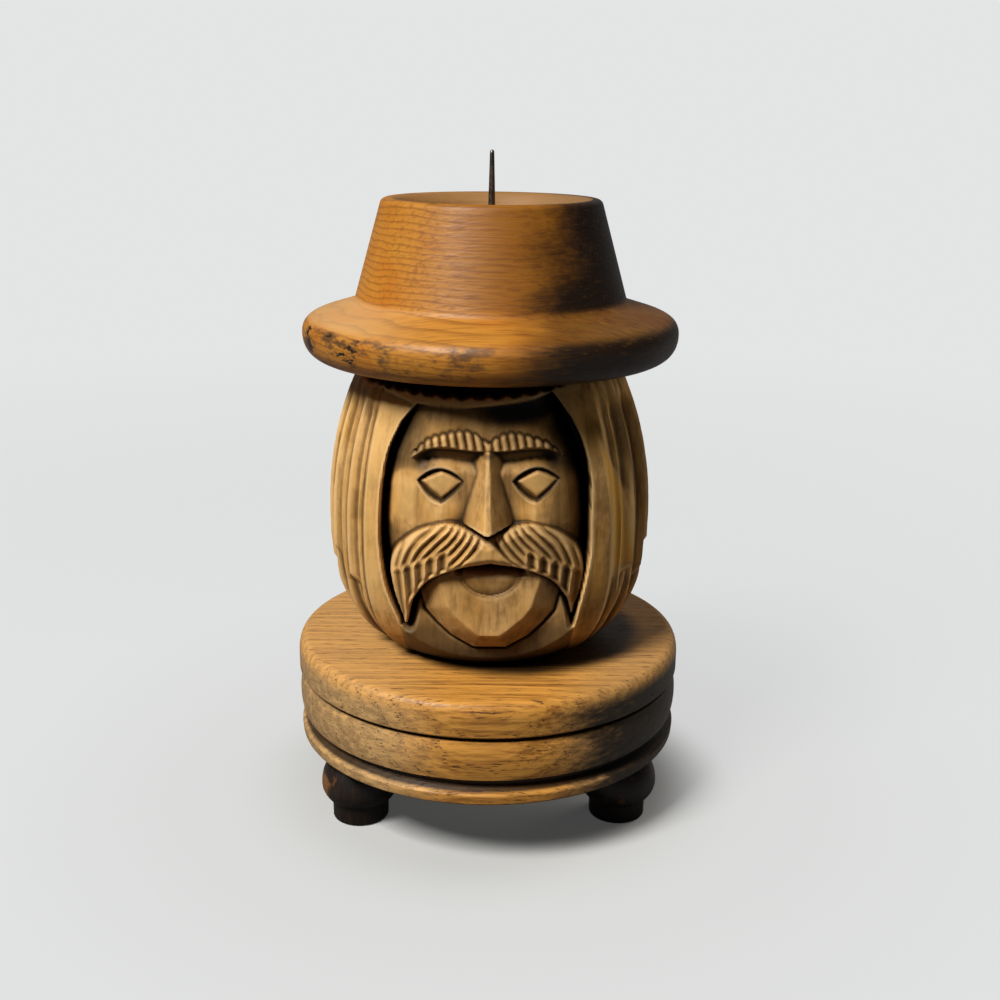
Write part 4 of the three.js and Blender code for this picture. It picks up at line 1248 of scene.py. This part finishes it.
# %% Replace the solids
new_pieces = [
    (hat, "turned_hat", "hat_wood", hat_wood),
    (spike, "pricket_spike", "spike_steel", spike_steel),
    (head, "carved_head", "head_wood", head_wood),
    (base, "turned_base", "base_oak", base_oak),
]
new_pieces += [(piece, node, "foot_stain", foot_stain) for piece, node in zip(foot_pieces, feet)]
for piece, node, slot, material in new_pieces:
    piece.data.materials.clear()
    piece.data.materials.append(material)
    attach(piece, "root")
    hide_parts(node)
for node, material in (("hat_dowel", dowel_beech), ("base_screw", screw_steel)):
    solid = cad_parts[node]
    solid.data.materials.clear()
    solid.data.materials.append(material)
print("pieces:", [piece.name for piece, *_ in new_pieces])

# %% [markdown]
# ## The studio
#
# The photograph is taken in front of a seamless pale sweep. The sweep is a plane with its back edge
# extruded upwards and the fold bevelled round. To the camera it glows a little, so that it looks pale
# without more light on the object, and close to the feet it doesn't, so that their shadow stays. The
# glow is a little darker near the object, as a painted soft shadow.

# %% Build the sweep
SWEEP_SIZE = 6
SWEEP_RISE = 3
FOLD_RADIUS = 1.4
near_back = 0.48 * SWEEP_SIZE


def pick_edges(piece, wanted):
    """Selects, in edit mode, the edges of a piece whose two ends are wanted."""
    bpy.ops.object.mode_set(mode="EDIT")
    bpy.ops.mesh.select_all(action="DESELECT")
    bpy.ops.object.mode_set(mode="OBJECT")
    for edge in piece.data.edges:
        edge.select = all(wanted(piece.data.vertices[end].co) for end in edge.vertices)
    bpy.ops.object.mode_set(mode="EDIT")
    bpy.ops.mesh.select_mode(type="EDGE")


sweep = begin("sweep", bpy.ops.mesh.primitive_plane_add, size=SWEEP_SIZE)
pick_edges(sweep, lambda end: end.y > near_back)
bpy.ops.mesh.extrude_region_move(TRANSFORM_OT_translate={"value": (0, 0, SWEEP_RISE)})
pick_edges(sweep, lambda end: end.y > near_back and end.z < 0.1)
bpy.ops.mesh.bevel(offset=FOLD_RADIUS, segments=24)
bpy.ops.object.mode_set(mode="OBJECT")
bpy.ops.object.shade_smooth_by_angle(angle=math.radians(40))
print("sweep has", len(sweep.data.polygons), "faces")

# %% Finish the sweep
paper, shader, place = new_finish("pale_paper")
tree = paper.node_tree
away_x, away_y, _ = axes(place)
away = (away_x**2 + away_y**2) ** 0.5
tooth = cloud(stretched(place, 40, 40, 40), 3)
seen = place.node("ShaderNodeLightPath", {}, {}, "Is Camera Ray")
mirrored_ray = place.node("ShaderNodeLightPath", {}, {}, "Is Glossy Ray")
sheet = layered("cecfcd", (tooth, "d2d2d0"))
feed(shader, base_color=blend(seen, colour("4a4a49"), sheet), roughness=0.9, specular_ior_level=0.1)
# The glow's colour is darker near the object: painted shade.
paleness_and_shade = layered("dcdddc", (fade(away, 0.07, 0.2), "e3e5e5"))
glow = place.node("ShaderNodeEmission", {}, {"Color": paleness_and_shade, "Strength": 1.0})
glow_share = 0.07 + fade(away, 0.055, 0.088) * 0.8 + fade(away, 0.2, 0.9) * 0.13
glow_share = glow_share * (seen + 0.25 * mirrored_ray)
matt = Pattern(tree, shader.outputs[0])
pale = place.node("ShaderNodeMixShader", {}, {0: glow_share, 1: matt, 2: glow})
tree.links.new(pale.socket, tree.nodes["Material Output"].inputs["Surface"])
sweep.data.materials.append(paper)
print("paper finish:", len(tree.nodes), "nodes")

# %% [markdown]
# ### Light and camera
#
# The light is soft and comes from a large window at the upper left. A weak second light stands for the
# far wall, which throws a little of it back. The room is as pale as the sweep where the camera sees it
# and nearly dark for the object. The camera looks down a little and leans, as in the photograph.

# %% Set the lights
HEAD_MIDDLE = Vector((0, 0, 0.11))
ROOM_LIGHT = 0.022


def soft_light(name, spot, size, watts, tint):
    """A square soft light at a place, turned towards the head."""
    light = bpy.data.lights.new(name, "AREA")
    light.size = size
    light.energy = watts
    light.color = tint
    lamp = bpy.data.objects.new(name, light)
    lamp.location = spot
    lamp.rotation_euler = (HEAD_MIDDLE - Vector(spot)).to_track_quat("-Z", "Y").to_euler()
    bpy.context.collection.objects.link(lamp)
    return lamp


window = soft_light("window", (-0.56, -0.67, 1.08), size=0.4, watts=22, tint=(1, 0.985, 0.96))
far_wall = soft_light("far_wall", (0.75, 0.42, 0.35), size=0.5, watts=2.8, tint=(1, 0.95, 0.88))
far_wall.visible_glossy = False

room = bpy.data.worlds.new("room")
room.use_nodes = True
air = room.node_tree.nodes["Background"]
ray = room.node_tree.nodes.new("ShaderNodeLightPath")
looked_at = Pattern(room.node_tree, ray.outputs["Is Camera Ray"])
room_tone = layered("ffffff", (looked_at, "e3e5e5"))
feed(air, color=room_tone, strength=ROOM_LIGHT + (1 - ROOM_LIGHT) * looked_at)
bpy.context.scene.world = room
print("lights:", [(lamp.name, lamp.data.energy) for lamp in (window, far_wall)])

# %% Set the camera
LOOKS_DOWN = 16.42
LEANS = 0.6
view = bpy.data.cameras.new("view")
view.lens = 47.77
view.sensor_width = 36
camera = bpy.data.objects.new("view", view)
stand = Matrix.Translation((0.0035, -0.4175, 0.2236))
tilt = Matrix.Rotation(math.radians(90 - LOOKS_DOWN), 4, "X")
roll = Matrix.Rotation(math.radians(LEANS), 4, "Z")
camera.matrix_world = stand @ tilt @ roll
bpy.context.collection.objects.link(camera)
bpy.context.scene.camera = camera
bpy.context.scene.view_settings.view_transform = "Standard"
print("camera looks down", LOOKS_DOWN, "degrees")
